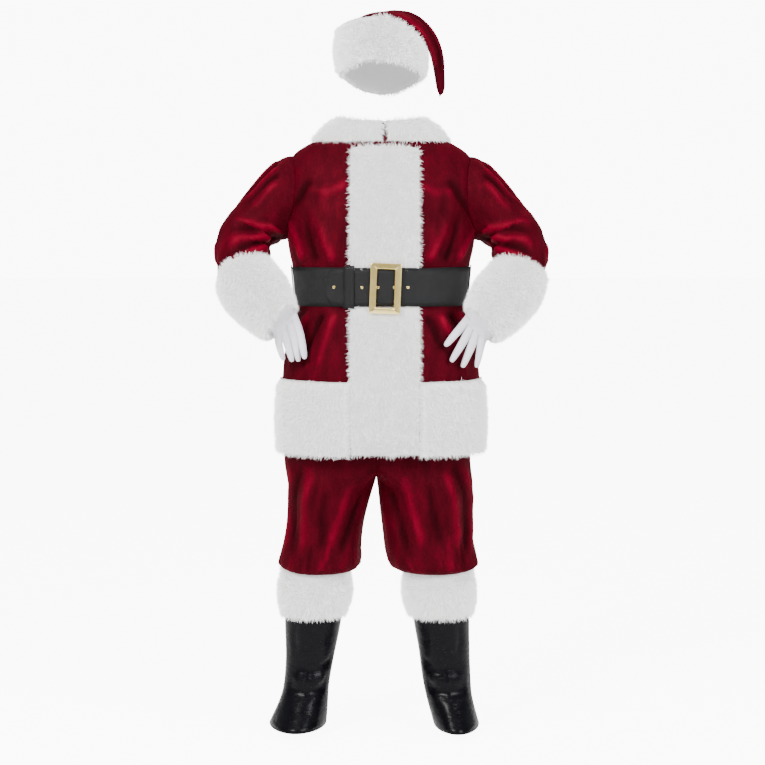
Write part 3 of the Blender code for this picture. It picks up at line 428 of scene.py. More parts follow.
def brassLook():
    look = Look("pale_brass", (0.78, 0.60, 0.24), {"Metallic": 1.0})
    brushed = look.grain(260.0, 3.0, 0.6, look.stretched((1.0, 1.0, 0.08)))
    toneLevel = look.grain(45.0, 3.0, 0.6)
    tone = look.mixed(toneLevel, colour(0.86, 0.63, 0.17), colour(1.0, 0.85, 0.37))
    look.finish("Base Color", tone)
    look.finish("Roughness", 0.16 + brushed * 0.14)
    look.relief([(brushed, 0.00008)])
    return look.material


looks = {
    "velvet": velvetLook(), "fur": furLook(), "belt_leather": leatherLook(), "boot_vinyl": vinylLook(),
    "glove_cloth": gloveLook(), "brass": brassLook(),
}
print("materials made")


def dress(piece, slotName):
    piece.data.materials.clear()
    piece.data.materials.append(looks[slotName])
    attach(piece, "root")


# along is the height above the floor on the jacket, trousers and boots, else the way along the path
jacketFolds = {
    "levels": 2,
    "strength": 1.35,
    "rumple": 0.0016,
    "creases": [
        ([(44, 1.080), (58, 0.985), (66, 0.920)], 0.012, 0.007, 0.002),
        ([(54, 1.080), (72, 0.990), (80, 0.930)], 0.010, -0.006, -0.002),
        ([(36, 1.078), (44, 1.000), (58, 0.930)], 0.010, -0.006, -0.001),
        ([(62, 1.082), (84, 1.010), (92, 0.940)], 0.012, 0.007, 0.001),
        ([(30, 1.075), (32, 1.010), (38, 0.950)], 0.009, 0.004, 0.001),
        ([(-36, 1.080), (-42, 0.990), (-46, 0.930)], 0.011, 0.005, 0.001),
        ([(-46, 1.080), (-56, 0.985), (-58, 0.925)], 0.010, -0.006, -0.002),
        ([(-58, 1.082), (-70, 0.995), (-72, 0.930)], 0.012, 0.006, 0.002),
        ([(-72, 1.082), (-84, 1.010), (-88, 0.950)], 0.010, -0.005, -0.001),
        ([(-36, 1.196), (-44, 1.260), (-54, 1.330)], 0.012, 0.005, 0.001),
        ([(-50, 1.196), (-58, 1.270), (-62, 1.345)], 0.012, -0.005, -0.001),
        ([(-64, 1.196), (-68, 1.260), (-78, 1.320)], 0.012, 0.006, 0.001),
        ([(36, 1.196), (46, 1.260), (54, 1.320)], 0.012, 0.005, 0.001),
        ([(50, 1.196), (58, 1.265), (66, 1.345)], 0.011, -0.006, -0.001),
        ([(62, 1.196), (70, 1.250), (82, 1.300)], 0.012, 0.006, 0.001),
        ([(58, 1.410), (66, 1.350), (80, 1.290)], 0.013, -0.005, -0.002),
        ([(-60, 1.410), (-68, 1.350), (-82, 1.290)], 0.013, -0.005, -0.002),
        ([(30, 1.400), (48, 1.370), (66, 1.380)], 0.012, 0.004, 0.001),
        ([(-30, 1.400), (-46, 1.372), (-66, 1.385)], 0.012, 0.004, 0.001),
        ([(112, 1.082), (106, 0.990), (104, 0.925)], 0.013, 0.007, 0.002),
        ([(124, 1.082), (122, 0.990), (116, 0.930)], 0.011, -0.006, -0.002),
        ([(138, 1.080), (142, 0.985), (146, 0.925)], 0.013, 0.006, 0.001),
        ([(152, 1.080), (158, 1.000), (160, 0.950)], 0.011, -0.006, -0.001),
        ([(168, 1.082), (170, 0.980), (174, 0.920)], 0.013, 0.006, 0.002),
        ([(186, 1.080), (190, 0.990), (192, 0.935)], 0.011, -0.005, -0.001),
        ([(200, 1.082), (204, 0.985), (206, 0.925)], 0.013, 0.007, 0.002),
        ([(216, 1.080), (222, 1.000), (226, 0.945)], 0.011, -0.006, -0.001),
        ([(232, 1.082), (234, 0.985), (240, 0.925)], 0.013, 0.006, 0.002),
        ([(248, 1.082), (252, 0.990), (254, 0.935)], 0.011, -0.006, -0.002),
        ([(126, 1.196), (120, 1.270), (112, 1.350)], 0.013, 0.006, 0.001),
        ([(144, 1.196), (140, 1.260), (130, 1.330)], 0.012, -0.006, -0.001),
        ([(162, 1.196), (164, 1.280), (160, 1.350)], 0.013, 0.005, 0.001),
        ([(182, 1.196), (180, 1.260), (182, 1.320)], 0.012, -0.005, -0.001),
        ([(198, 1.196), (196, 1.275), (202, 1.350)], 0.013, 0.006, 0.001),
        ([(218, 1.196), (222, 1.260), (230, 1.330)], 0.012, -0.006, -0.001),
        ([(236, 1.196), (242, 1.270), (248, 1.350)], 0.013, 0.005, 0.001),
        ([(120, 1.440), (150, 1.405), (180, 1.395), (210, 1.405), (240, 1.440)], 0.014, -0.004, -0.004),
    ],
}


# the cloth lies still where a belt, a fur band or a seam holds it
def jacketHeld(place):
    height = place.along
    underBelt = 1 - smoothStep(1.068, 1.084, height) * (1 - smoothStep(1.192, 1.208, height))
    underHem = smoothStep(0.905, 0.935, height)
    collar = 1 - smoothStep(1.425, 1.465, height)
    underBand = smoothStep(26, 36, np.abs(place.degrees))
    return underBelt * underHem * collar * underBand


pressChoice = {"rumpleSize": 0.022, "rumpleReach": 2.6, "foldRange": 0.014}


# raises and sinks the creases, and keeps how high each point stands, which the velvet's look paints as shade
# in the troughs and as a highlight on the ridges
def pressCloth(piece, path, choice, held, seed, byHeight=True):
    points = meshPoints(piece.data)
    place = TubePlace(points, path, byHeight)
    lift = choice["strength"] * creaseLift(place, choice["creases"])
    lift += choice["rumple"] * rumples(place, pressChoice["rumpleSize"], pressChoice["rumpleReach"], seed)
    lift *= held(place)
    setPoints(piece.data, points + place.out * lift[:, None])
    keepField(piece.data, "fold", np.clip(0.5 + lift / pressChoice["foldRange"], 0, 1))


cloth = {}
for name in ("jacket_back", "jacket_front_left", "jacket_front_right"):
    piece = finerCopy(name, name + "_velvet", jacketFolds["levels"])
    pressCloth(piece, trunkPath, jacketFolds, jacketHeld, 3.7)
    cloth[name] = piece
print("jacket panels pressed")

sleeveFolds = {
    "levels": 2,
    "strength": 1.2,
    "rumple": 0.0018,
    "creases": [
        ([(-92, 0.035), (-90, 0.090), (-96, 0.140)], 0.009, 0.006, 0.002),
        ([(-74, 0.035), (-72, 0.085), (-80, 0.130)], 0.008, -0.006, -0.002),
        ([(-58, 0.035), (-54, 0.095), (-62, 0.150)], 0.009, 0.006, 0.002),
        ([(-42, 0.040), (-36, 0.090), (-40, 0.135)], 0.008, -0.005, -0.001),
        ([(-26, 0.045), (-18, 0.100), (-20, 0.150)], 0.010, 0.005, 0.001),
        ([(-110, 0.035), (-112, 0.090), (-108, 0.135)], 0.008, -0.006, -0.002),
        ([(-128, 0.035), (-130, 0.090), (-122, 0.150)], 0.009, 0.006, 0.002),
        ([(-146, 0.040), (-150, 0.090), (-140, 0.130)], 0.008, -0.005, -0.001),
        ([(60, 0.110), (10, 0.165), (-40, 0.190)], 0.013, 0.009, 0.002),
        ([(78, 0.140), (20, 0.195), (-36, 0.222)], 0.011, -0.008, -0.002),
        ([(86, 0.170), (30, 0.225), (-30, 0.258)], 0.013, 0.009, 0.003),
        ([(80, 0.205), (24, 0.255), (-30, 0.285)], 0.011, -0.008, -0.002),
        ([(74, 0.240), (20, 0.285), (-44, 0.305)], 0.012, 0.008, 0.002),
        ([(-60, 0.180), (-96, 0.205), (-130, 0.200)], 0.011, -0.006, -0.003),
        ([(-66, 0.232), (-100, 0.250), (-134, 0.240)], 0.012, 0.006, 0.003),
        ([(-70, 0.275), (-100, 0.290), (-140, 0.280)], 0.010, -0.006, -0.003),
        ([(100, 0.130), (150, 0.180), (190, 0.200)], 0.012, 0.008, 0.002),
        ([(100, 0.165), (150, 0.212), (196, 0.230)], 0.011, -0.008, -0.002),
        ([(96, 0.200), (146, 0.245), (190, 0.265)], 0.012, 0.008, 0.002),
        ([(92, 0.238), (140, 0.275), (186, 0.292)], 0.011, -0.006, -0.002),
    ],
}


def sleeveHeld(place):
    return smoothStep(0.012, 0.05, place.along) * (1 - smoothStep(0.282, 0.312, place.along))


def mirrored(creases):
    return [
        ([(-degree, along) for degree, along in path], width, first, last)
        for path, width, first, last in creases
    ]


for side in ("left", "right"):
    name = "sleeve_" + side
    choice = dict(sleeveFolds)
    if side == "right":
        choice["creases"] = mirrored(sleeveFolds["creases"])
    piece = finerCopy(name, name + "_velvet", choice["levels"])
    pressCloth(piece, sleevePaths[side], choice, sleeveHeld, 11.3 if side == "left" else 5.1, False)
    cloth[name] = piece
print("sleeves pressed")

trouserFolds = {
    "levels": 2,
    "strength": 0.9,
    "rumple": 0.0014,
    "left": [
        ([(20, 0.690), (34, 0.600), (40, 0.520), (34, 0.465)], 0.014, 0.005, 0.007),
        ([(36, 0.700), (54, 0.600), (58, 0.520), (50, 0.462)], 0.012, -0.006, -0.006),
        ([(54, 0.690), (76, 0.600), (74, 0.515), (66, 0.462)], 0.014, 0.005, 0.007),
        ([(2, 0.660), (8, 0.560), (16, 0.480)], 0.013, -0.005, -0.005),
        ([(-24, 0.680), (-16, 0.580), (-6, 0.480)], 0.014, 0.004, 0.007),
        ([(-44, 0.640), (-34, 0.540), (-26, 0.470)], 0.012, -0.005, -0.006),
        ([(26, 0.520), (24, 0.470), (20, 0.440)], 0.007, 0.004, 0.006),
        ([(44, 0.505), (42, 0.468), (38, 0.440)], 0.006, -0.003, -0.005),
    ],
    "right": [
        ([(-20, 0.690), (-30, 0.600), (-28, 0.520), (-22, 0.465)], 0.013, 0.005, 0.006),
        ([(-38, 0.700), (-50, 0.600), (-50, 0.530), (-42, 0.462)], 0.012, -0.005, -0.006),
        ([(-58, 0.690), (-72, 0.600), (-70, 0.520), (-62, 0.462)], 0.014, 0.005, 0.006),
        ([(-4, 0.640), (-6, 0.560), (2, 0.480)], 0.012, -0.004, -0.005),
        ([(22, 0.660), (16, 0.560), (10, 0.480)], 0.013, 0.004, 0.006),
        ([(44, 0.630), (34, 0.540), (26, 0.470)], 0.011, -0.005, -0.006),
        ([(10, 0.500), (6, 0.465), (4, 0.440)], 0.006, 0.004, 0.006),
        ([(-12, 0.500), (-14, 0.468), (-10, 0.440)], 0.006, -0.003, -0.005),
    ],
    "round": [
        ([(100, 0.690), (106, 0.590), (100, 0.468)], 0.014, -0.004, -0.006),
        ([(124, 0.680), (130, 0.570), (122, 0.466)], 0.014, 0.005, 0.006),
        ([(146, 0.690), (150, 0.590), (146, 0.468)], 0.013, -0.005, -0.006),
        ([(168, 0.660), (172, 0.570), (166, 0.466)], 0.014, 0.005, 0.007),
        ([(190, 0.690), (194, 0.580), (188, 0.468)], 0.013, -0.005, -0.006),
        ([(212, 0.670), (214, 0.570), (210, 0.466)], 0.014, 0.005, 0.006),
        ([(236, 0.690), (234, 0.590), (232, 0.468)], 0.013, -0.004, -0.006),
        ([(256, 0.680), (252, 0.580), (254, 0.468)], 0.013, 0.004, 0.006),
    ],
    "gathers": 22,
    "droop": 0.018,
    "meet": 0.0012,
    "seam": -0.009,
}


# short pleats where the elastic draws the leg in above the boot
def legGathers(count, seed):
    made = []
    for i in range(count):
        degree = 360 * i / count + 5 * math.sin(2.3 * i + seed)
        top = 0.474 + 0.018 * math.sin(1.7 * i + seed)
        lean = 5 * math.sin(3.1 * i + 2 * seed)
        size = 0.0040 + 0.0012 * math.sin(2.9 * i + seed)
        made.append(([(degree + lean, top), (degree, 0.436)], 0.0052, size * 0.3, size))
    return made


def legHeld(place):
    return smoothStep(0.414, 0.440, place.along) * (1 - smoothStep(0.690, 0.735, place.along))


for side in ("left", "right"):
    name = "trouser_leg_" + side
    choice = dict(trouserFolds)
    choice["creases"] = trouserFolds[side] + trouserFolds["round"] + legGathers(
        trouserFolds["gathers"], 0.6 if side == "left" else 2.2)
    piece = finerCopy(name, name + "_velvet", choice["levels"])
    pressCloth(piece, legPaths[side], choice, legHeld, 21.9 if side == "left" else 17.2)
    points = meshPoints(piece.data)  # the blouse hangs lower in front, over the boot's fur
    place = TubePlace(points, legPaths[side], True)
    low = (1 - smoothStep(0.428, 0.520, place.along)) * smoothStep(0.080, 0.092, place.radius)
    front = 0.35 + 0.65 * smoothStep(-0.6, 0.7, np.cos(np.radians(place.degrees)))
    points[:, 2] -= trouserFolds["droop"] * low * front
    fromSeam = np.abs(points[:, 0] - trouserFolds["seam"])  # the legs touch at the crotch
    meeting = smoothStep(0.652, 0.668, place.along) * (1 - smoothStep(0.010, 0.020, fromSeam))
    points[:, 0] += trouserFolds["meet"] * meeting * (-1 if side == "left" else 1)
    setPoints(piece.data, points)
    cloth[name] = piece
print("trousers pressed")

crownFolds = {
    "levels": 2,
    "strength": 1.2,
    "fuller": 0.0026,
    "taper": 0.42,
    "droop": 0.006,
    "tipRadius": 0.016,
    "rumple": 0.0010,
    "creases": [
        ([(-60, 0.130), (-40, 0.180), (-20, 0.235), (-14, 0.330)], 0.0085, -0.004, -0.003),
        ([(-84, 0.110), (-66, 0.170), (-52, 0.240), (-50, 0.330)], 0.0080, 0.003, 0.003),
        ([(-24, 0.120), (0, 0.170), (16, 0.230), (24, 0.320)], 0.0085, 0.004, 0.003),
        ([(10, 0.080), (30, 0.120), (50, 0.160)], 0.0090, -0.005, -0.002),
        ([(-10, 0.060), (-4, 0.100), (10, 0.150)], 0.0100, 0.004, 0.002),
        ([(-40, 0.050), (-50, 0.100), (-70, 0.150)], 0.0100, -0.004, -0.002),
        ([(130, 0.080), (140, 0.160), (150, 0.260)], 0.0100, -0.005, -0.003),
        ([(170, 0.070), (176, 0.150), (190, 0.260)], 0.0100, 0.005, 0.003),
        ([(210, 0.080), (214, 0.150), (226, 0.250)], 0.0090, -0.004, -0.003),
        ([(80, 0.110), (100, 0.130), (130, 0.120)], 0.0090, -0.004, -0.002),
    ],
}


def crownHeld(place):
    return smoothStep(0.035, 0.075, place.along) * (1 - smoothStep(0.36, 0.40, place.along))


piece = finerCopy("hat_crown", "hat_crown_velvet", crownFolds["levels"])
pressCloth(piece, crownPath, crownFolds, crownHeld, 8.4, False)
points = meshPoints(piece.data)  # the fall is a little fuller, and its end is rounded
place = TubePlace(points, crownPath, False)
length = place.along.max()
fall = smoothStep(0.10, 0.17, place.along) * (1 - smoothStep(length - 0.02, length, place.along))
end = smoothStep(length - 0.010, length, place.along)
points += place.out * (crownFolds["fuller"] * fall - crownFolds["taper"] * end * place.radius)[:, None]
points[:, 2] -= crownFolds["droop"] * end * np.clip(1.3 - place.radius / crownFolds["tipRadius"], 0, 1)
setPoints(piece.data, points)
cloth["hat_crown"] = piece
print("hat crown pressed")

for name, piece in cloth.items():
    dress(piece, "velvet")
    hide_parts(name)
    print(name, "area", round(clothArea(piece), 4), "triangles", 2 * len(piece.data.polygons))

bootFolds = {
    "levels": 2,
    "strength": 1.7,
    "rumple": 0.0009,
    "creases": [
        ([(-70, 0.185), (-30, 0.170), (10, 0.178), (50, 0.165)], 0.011, -0.005, -0.003),
        ([(-50, 0.150), (-10, 0.135), (40, 0.142)], 0.010, 0.005, 0.003),
        ([(-60, 0.118), (0, 0.104), (50, 0.116)], 0.010, -0.005, -0.004),
        ([(-30, 0.220), (-18, 0.250), (-24, 0.290)], 0.010, 0.003, 0.001),
        ([(30, 0.200), (38, 0.250), (30, 0.300)], 0.010, -0.003, -0.001),
        ([(100, 0.160), (150, 0.145), (200, 0.155)], 0.012, -0.005, -0.004),
        ([(110, 0.125), (170, 0.118), (240, 0.130)], 0.012, 0.005, 0.003),
        ([(120, 0.200), (180, 0.190), (230, 0.200)], 0.012, 0.004, 0.003),
        ([(0, 0.090), (2, 0.200), (0, 0.300)], 0.0035, 0.0022, 0.0018),
        ([(180, 0.060), (180, 0.200), (180, 0.300)], 0.0030, -0.0018, -0.0018),
    ],
}


def bootHeld(place):
    return smoothStep(0.018, 0.045, place.along) * (1 - smoothStep(0.285, 0.306, place.along))


for side in ("left", "right"):
    name = "boot_top_" + side
    piece = finerCopy(name, name + "_vinyl", bootFolds["levels"])
    choice = dict(bootFolds)
    if side == "right":
        choice["creases"] = mirrored(bootFolds["creases"])
    pressCloth(piece, bootPaths[side], choice, bootHeld, 31.0 if side == "left" else 27.5)
    dress(piece, "boot_vinyl")
    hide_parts(name)

gloveChoice = {"levels": 1, "sharpFrom": 84, "fuller": 0.0011, "wrist": (1.02, 1.07)}
for side in ("left", "right"):
    name = "glove_" + side
    piece = finerCopy(name, name + "_knit", gloveChoice["levels"], gloveChoice["sharpFrom"])
    points, normals = meshPoints(piece.data), meshNormals(piece.data)
    # the fingers fill out, the wrist stays
    low = 1 - smoothStep(*gloveChoice["wrist"], points[:, 2] + shoulderHeight)
    setPoints(piece.data, points + normals * (gloveChoice["fuller"] * low)[:, None])
    dress(piece, "glove_cloth")
    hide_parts(name)
    print(name, "area", round(clothArea(piece), 4))
print("boots and gloves made")

# fur: a soft base with strands grown on it by Geometry Nodes
furChoice = {
    "strandWidth": 0.00072,
    "strandLength": 0.0135,
    "tuftScale": 62.0,
    "tuftLean": 1.9,
    "ownLean": 0.34,
    "sizes": (0.55, 1.15),
    "softScale": 38.0,
    "softDepth": 0.0024,
    "hem": {"out": 0.0042, "down": 0.021, "top": 0.906},
    "band": {"down": 0.013, "pressed": 0.010},
    "boot": {"pressed": 0.010},
}
furBands = [  # node, path, strands, comb, seed, how deep the soft base lies
    ("hem_fur", trunkPath, 52000, (0.0, 0.0, -0.42), 11, 0.0105),
    ("front_fur_band", trunkPath, 36000, (0.0, 0.0, -0.30), 12, 0.0075),
    ("collar_fur", trunkPath, 12000, (0.0, 0.0, -0.65), 13, 0.0110),
    ("cuff_fur_left", sleevePaths["left"], 24000, (-0.1, -0.1, -0.2), 14, 0.0110),
    ("cuff_fur_right", sleevePaths["right"], 24000, (0.1, -0.1, -0.2), 15, 0.0110),
    ("hat_brim_fur", headPath, 34000, (0.0, 0.0, -0.10), 16, 0.0110),
    ("boot_fur_left", bootPaths["left"], 21000, (0.0, 0.0, -0.40), 17, 0.0110),
    ("boot_fur_right", bootPaths["right"], 21000, (0.0, 0.0, -0.40), 18, 0.0110),
]


def strandTree():
    tree = bpy.data.node_groups.new("fur_strands", "GeometryNodeTree")
    inputs = [
        ("Geometry", "NodeSocketGeometry"), ("Density", "NodeSocketFloat"), ("Length", "NodeSocketFloat"),
        ("Width", "NodeSocketFloat"), ("Comb", "NodeSocketVector"), ("Seed", "NodeSocketInt"),
        ("Finish", "NodeSocketMaterial"),
    ]
    for name, kind in inputs:
        tree.interface.new_socket(name, in_out="INPUT", socket_type=kind)
    tree.interface.new_socket("Geometry", in_out="OUTPUT", socket_type="NodeSocketGeometry")

    def add(kind, settings=()):
        made = tree.nodes.new(kind)
        for key, value in dict(settings).items():
            setattr(made, key, value)
        return made

    def join(source, out, target, into):
        tree.links.new(source.outputs[out], target.inputs[into])

    given = add("NodeGroupInput")
    grow = add("GeometryNodeInputNamedAttribute", {"data_type": "FLOAT"})
    grow.inputs["Name"].default_value = "grow"
    thick = add("ShaderNodeMath", {"operation": "MULTIPLY"})
    join(grow, "Attribute", thick, 0)
    join(given, "Density", thick, 1)
    spread = add("GeometryNodeDistributePointsOnFaces", {"distribute_method": "RANDOM"})
    join(given, "Geometry", spread, "Mesh")
    join(thick, 0, spread, "Density")
    join(given, "Seed", spread, "Seed")

    # each strand leans with its tuft, with the comb, and a little on its own
    where = add("GeometryNodeInputPosition")
    tuft = add("ShaderNodeTexNoise", {"noise_dimensions": "3D"})
    tuft.inputs["Scale"].default_value = furChoice["tuftScale"]
    tuft.inputs["Detail"].default_value = 2.0
    join(where, 0, tuft, "Vector")
    centred = add("ShaderNodeVectorMath", {"operation": "SUBTRACT"})
    centred.inputs[1].default_value = (0.5, 0.5, 0.5)
    join(tuft, "Color", centred, 0)
    tufted = add("ShaderNodeVectorMath", {"operation": "SCALE"})
    tufted.inputs["Scale"].default_value = furChoice["tuftLean"]
    join(centred, 0, tufted, 0)
    own = add("FunctionNodeRandomValue", {"data_type": "FLOAT_VECTOR"})
    own.inputs[0].default_value = [-furChoice["ownLean"]] * 3
    own.inputs[1].default_value = [furChoice["ownLean"]] * 3
    join(given, "Seed", own, "Seed")
    sums = []
    for first, second in ((spread, given), (tufted, own)):
        total = add("ShaderNodeVectorMath", {"operation": "ADD"})
        join(first, "Normal" if first is spread else 0, total, 0)
        join(second, "Comb" if second is given else 0, total, 1)
        sums.append(total)
    lean = add("ShaderNodeVectorMath", {"operation": "ADD"})
    join(sums[0], 0, lean, 0)
    join(sums[1], 0, lean, 1)
    turn = add("FunctionNodeAlignRotationToVector", {"axis": "Z"})
    join(lean, 0, turn, "Vector")

    strand = add("GeometryNodeMeshCone", {"fill_type": "NONE"})
    strand.inputs["Vertices"].default_value = 3
    strand.inputs["Side Segments"].default_value = 1
    strand.inputs["Radius Top"].default_value = 0.0
    join(given, "Width", strand, "Radius Bottom")
    join(given, "Length", strand, "Depth")
    along = add("ShaderNodeSeparateXYZ")
    join(add("GeometryNodeInputPosition"), 0, along, 0)
    share = add("ShaderNodeMath", {"operation": "DIVIDE"})
    join(along, "Z", share, 0)
    join(given, "Length", share, 1)
    # how far along its strand each point lies, which the fur's look uses to paint shade at the roots
    tipped = add("GeometryNodeStoreNamedAttribute", {"data_type": "FLOAT", "domain": "POINT"})
    tipped.inputs["Name"].default_value = "tip"
    join(strand, "Mesh", tipped, "Geometry")
    join(share, 0, tipped, "Value")
    size = add("FunctionNodeRandomValue", {"data_type": "FLOAT"})
    size.inputs[2].default_value, size.inputs[3].default_value = furChoice["sizes"]
    join(given, "Seed", size, "Seed")
    placed = add("GeometryNodeInstanceOnPoints")
    join(spread, "Points", placed, "Points")
    join(tipped, "Geometry", placed, "Instance")
    join(turn, "Rotation", placed, "Rotation")
    for socket in size.outputs:  # several outputs share one name, and only the float one is in use
        if socket.enabled:
            tree.links.new(socket, placed.inputs["Scale"])
    real = add("GeometryNodeRealizeInstances")
    join(placed, "Instances", real, "Geometry")
    both = add("GeometryNodeJoinGeometry")
    join(given, "Geometry", both, "Geometry")
    join(real, "Geometry", both, "Geometry")
    finished = add("GeometryNodeSetMaterial")
    join(both, "Geometry", finished, "Geometry")
    join(given, "Finish", finished, "Material")
    result = add("NodeGroupOutput")
    join(finished, "Geometry", result, "Geometry")
    return tree


def growFur(piece, tree, settings):
    modifier = piece.modifiers.new("strands", "NODES")
    modifier.node_group = tree
    sockets = {item.name: item.identifier for item in tree.interface.items_tree if item.in_out == "INPUT"}
    for name, value in settings.items():
        modifier[sockets[name]] = value
    bpy.context.view_layer.update()
    plainMesh(piece, piece.name)


# moves the fur of the hem and the band to where the photo shows it, and tells how far other cloth presses it
def settleFur(name, points, place):
    height = points[:, 2] + shoulderHeight
    pressed = np.zeros(len(points))
    if name == "hem_fur":  # its upper edge comes down, and out with the flare of the jacket
        hem = furChoice["hem"]
        upper = smoothStep(0.84, 0.925, height)
        points = points + place.out * (hem["out"] * upper)[:, None]
        points[:, 2] -= hem["down"] * upper
        points[:, 2] = np.minimum(points[:, 2], hem["top"] - shoulderHeight)
    if name == "front_fur_band":  # no hair stands under the belt, and the band ends level with the hem
        band = furChoice["band"]
        points[:, 2] -= band["down"] * (1 - smoothStep(0.70, 0.80, height))
        underBelt = smoothStep(1.066, 1.078, height) * (1 - smoothStep(1.186, 1.200, height))
        pressed = band["pressed"] * underBelt
    if name.startswith("boot_fur"):  # under the trouser's blouse, which hangs over its front
        front = smoothStep(-0.2, 0.8, np.cos(np.radians(place.degrees)))
        pressed = furChoice["boot"]["pressed"] * smoothStep(0.385, 0.410, height) * front
    return points, pressed


roomChoice = {"start": 0.0008, "reach": 0.05, "wall": 0.0035, "rounds": 3, "extra": 0.010}


# how far each point can sink along -out before it would leave the piece on its inner side
def roomInside(mesh, points, out, most):
    shape = bmesh.new()
    shape.from_mesh(mesh)
    walls = BVHTree.FromBMesh(shape)
    room = np.full(len(points), float(most))
    for index, (point, way) in enumerate(zip(points, out)):
        begin = Vector(point - way * roomChoice["start"])
        depth = walls.ray_cast(begin, Vector(-way), roomChoice["reach"])[3]
        if depth is not None:
            room[index] = min(most, max(0.0, depth - roomChoice["wall"]))
    ends = np.array([[vertex.index for vertex in edge.verts] for edge in shape.edges])
    shape.free()
    for _ in range(roomChoice["rounds"]):
        total, count = room.copy(), np.ones(len(room))
        for one, other in ((0, 1), (1, 0)):
            np.add.at(total, ends[:, one], room[ends[:, other]])
            np.add.at(count, ends[:, one], 1.0)
        room = np.minimum(room, total / count)
    return room


tree = strandTree()
for name, path, strands, comb, seed, depth in furBands:
    piece = finerCopy(name, name + "_pile", 1)
    points, normals = meshPoints(piece.data), meshNormals(piece.data)
    place = TubePlace(points, path)
    facing = (normals * place.out).sum(1)
    outer = smoothStep(-0.1, 0.5, facing)
    soft = np.array([noise.noise(Vector(point * furChoice["softScale"])) for point in points])
    room = roomInside(piece.data, points, place.out, depth + roomChoice["extra"])
    points, pressed = settleFur(name, points, place)
    sink = np.minimum(depth + pressed - furChoice["softDepth"] * soft, room)
    setPoints(piece.data, points - place.out * (outer * sink)[:, None])
    free = 1 - smoothStep(0.003, 0.008, pressed)
    keepField(piece.data, "grow", smoothStep(-0.35, 0.0, facing) * free)
    faces = piece.data.polygons
    growing = sum(face.area for face in faces if facing[list(face.vertices)].mean() > -0.15)
    growFur(piece, tree, {
        "Density": strands / growing, "Length": furChoice["strandLength"],
        "Width": furChoice["strandWidth"], "Comb": comb, "Seed": seed, "Finish": looks["fur"],
    })
    dress(piece, "fur")
    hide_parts(name)
    print(name, "growing", round(growing, 4), "faces", len(piece.data.polygons))
print("fur grown")

beltChoice = {
    "levels": 2, "sway": 0.0008, "swayScale": (24, 24, 5), "middle": 1.138, "half": 0.0495, "toneLevel": 0.3,
}
strap = finerCopy("belt_strap", "belt_strap_leather", beltChoice["levels"])
points = meshPoints(strap.data)
place = TubePlace(points, trunkPath, True)
sway = beltChoice["sway"] * np.array([noise.noise(Vector(spot)) for spot in points * beltChoice["swayScale"]])
setPoints(strap.data, points + place.out * sway[:, None])
fromMiddle = np.abs(place.along - beltChoice["middle"]) / beltChoice["half"]
keepField(strap.data, "edge", smoothStep(0.86, 0.99, fromMiddle))
dress(strap, "belt_leather")
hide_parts("belt_strap")
smallPieces = [  # node, slot, the field that its look reads
    ("belt_keeper", "belt_leather", "edge"), ("belt_loop_left", "velvet", "fold"),
    ("belt_loop_right", "velvet", "fold"),
]
for name, slotName, fieldName in smallPieces:
    piece = finerCopy(name, name + "_piece", 1)
    # each small piece gets one even level of its field: the velvet loops sit a little into the painted crease
    # shade, and the keeper takes a share of the belt's darker edge tone
    keepField(piece.data, fieldName, np.full(len(piece.data.vertices), beltChoice["toneLevel"]))
    dress(piece, slotName)
    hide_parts(name)
for number in range(1, 6):
    name = "belt_eyelet_%d" % number
    piece = finerCopy(name, name + "_brass", 1)
    dress(piece, "brass")
    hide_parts(name)

buckleChoice = {
    "centre": (0.011, -0.1803, 1.135), "half": (0.0385, 0.0620), "bar": (0.0170, 0.0150), "thick": 0.0050,
    "edge": 0.0016, "corner": 0.0040, "innerCorners": (0.0022, 0.0018, 0.0016), "lean": 2.3, "cornerSteps": 7,
}


# one round of the frame: a rectangle with rounded corners, inset from the outer edge
def frameRound(inset, corner, depth):
    choice = buckleChoice
    lean = math.radians(choice["lean"])
    points = []
    for cornerSide, (signX, signZ) in enumerate(((1, 1), (-1, 1), (-1, -1), (1, -1))):
        for step in range(choice["cornerSteps"]):
            turn = math.radians(90 * cornerSide + 90 / (choice["cornerSteps"] - 1) * step)
            x = signX * (choice["half"][0] - inset[0] - corner) + corner * math.cos(turn)
            z = signZ * (choice["half"][1] - inset[1] - corner) + corner * math.sin(turn)
            points.append((
                choice["centre"][0] + x * math.cos(lean) + z * math.sin(lean), choice["centre"][1] - depth,
                choice["centre"][2] - shoulderHeight - x * math.sin(lean) + z * math.cos(lean),
            ))
    return points


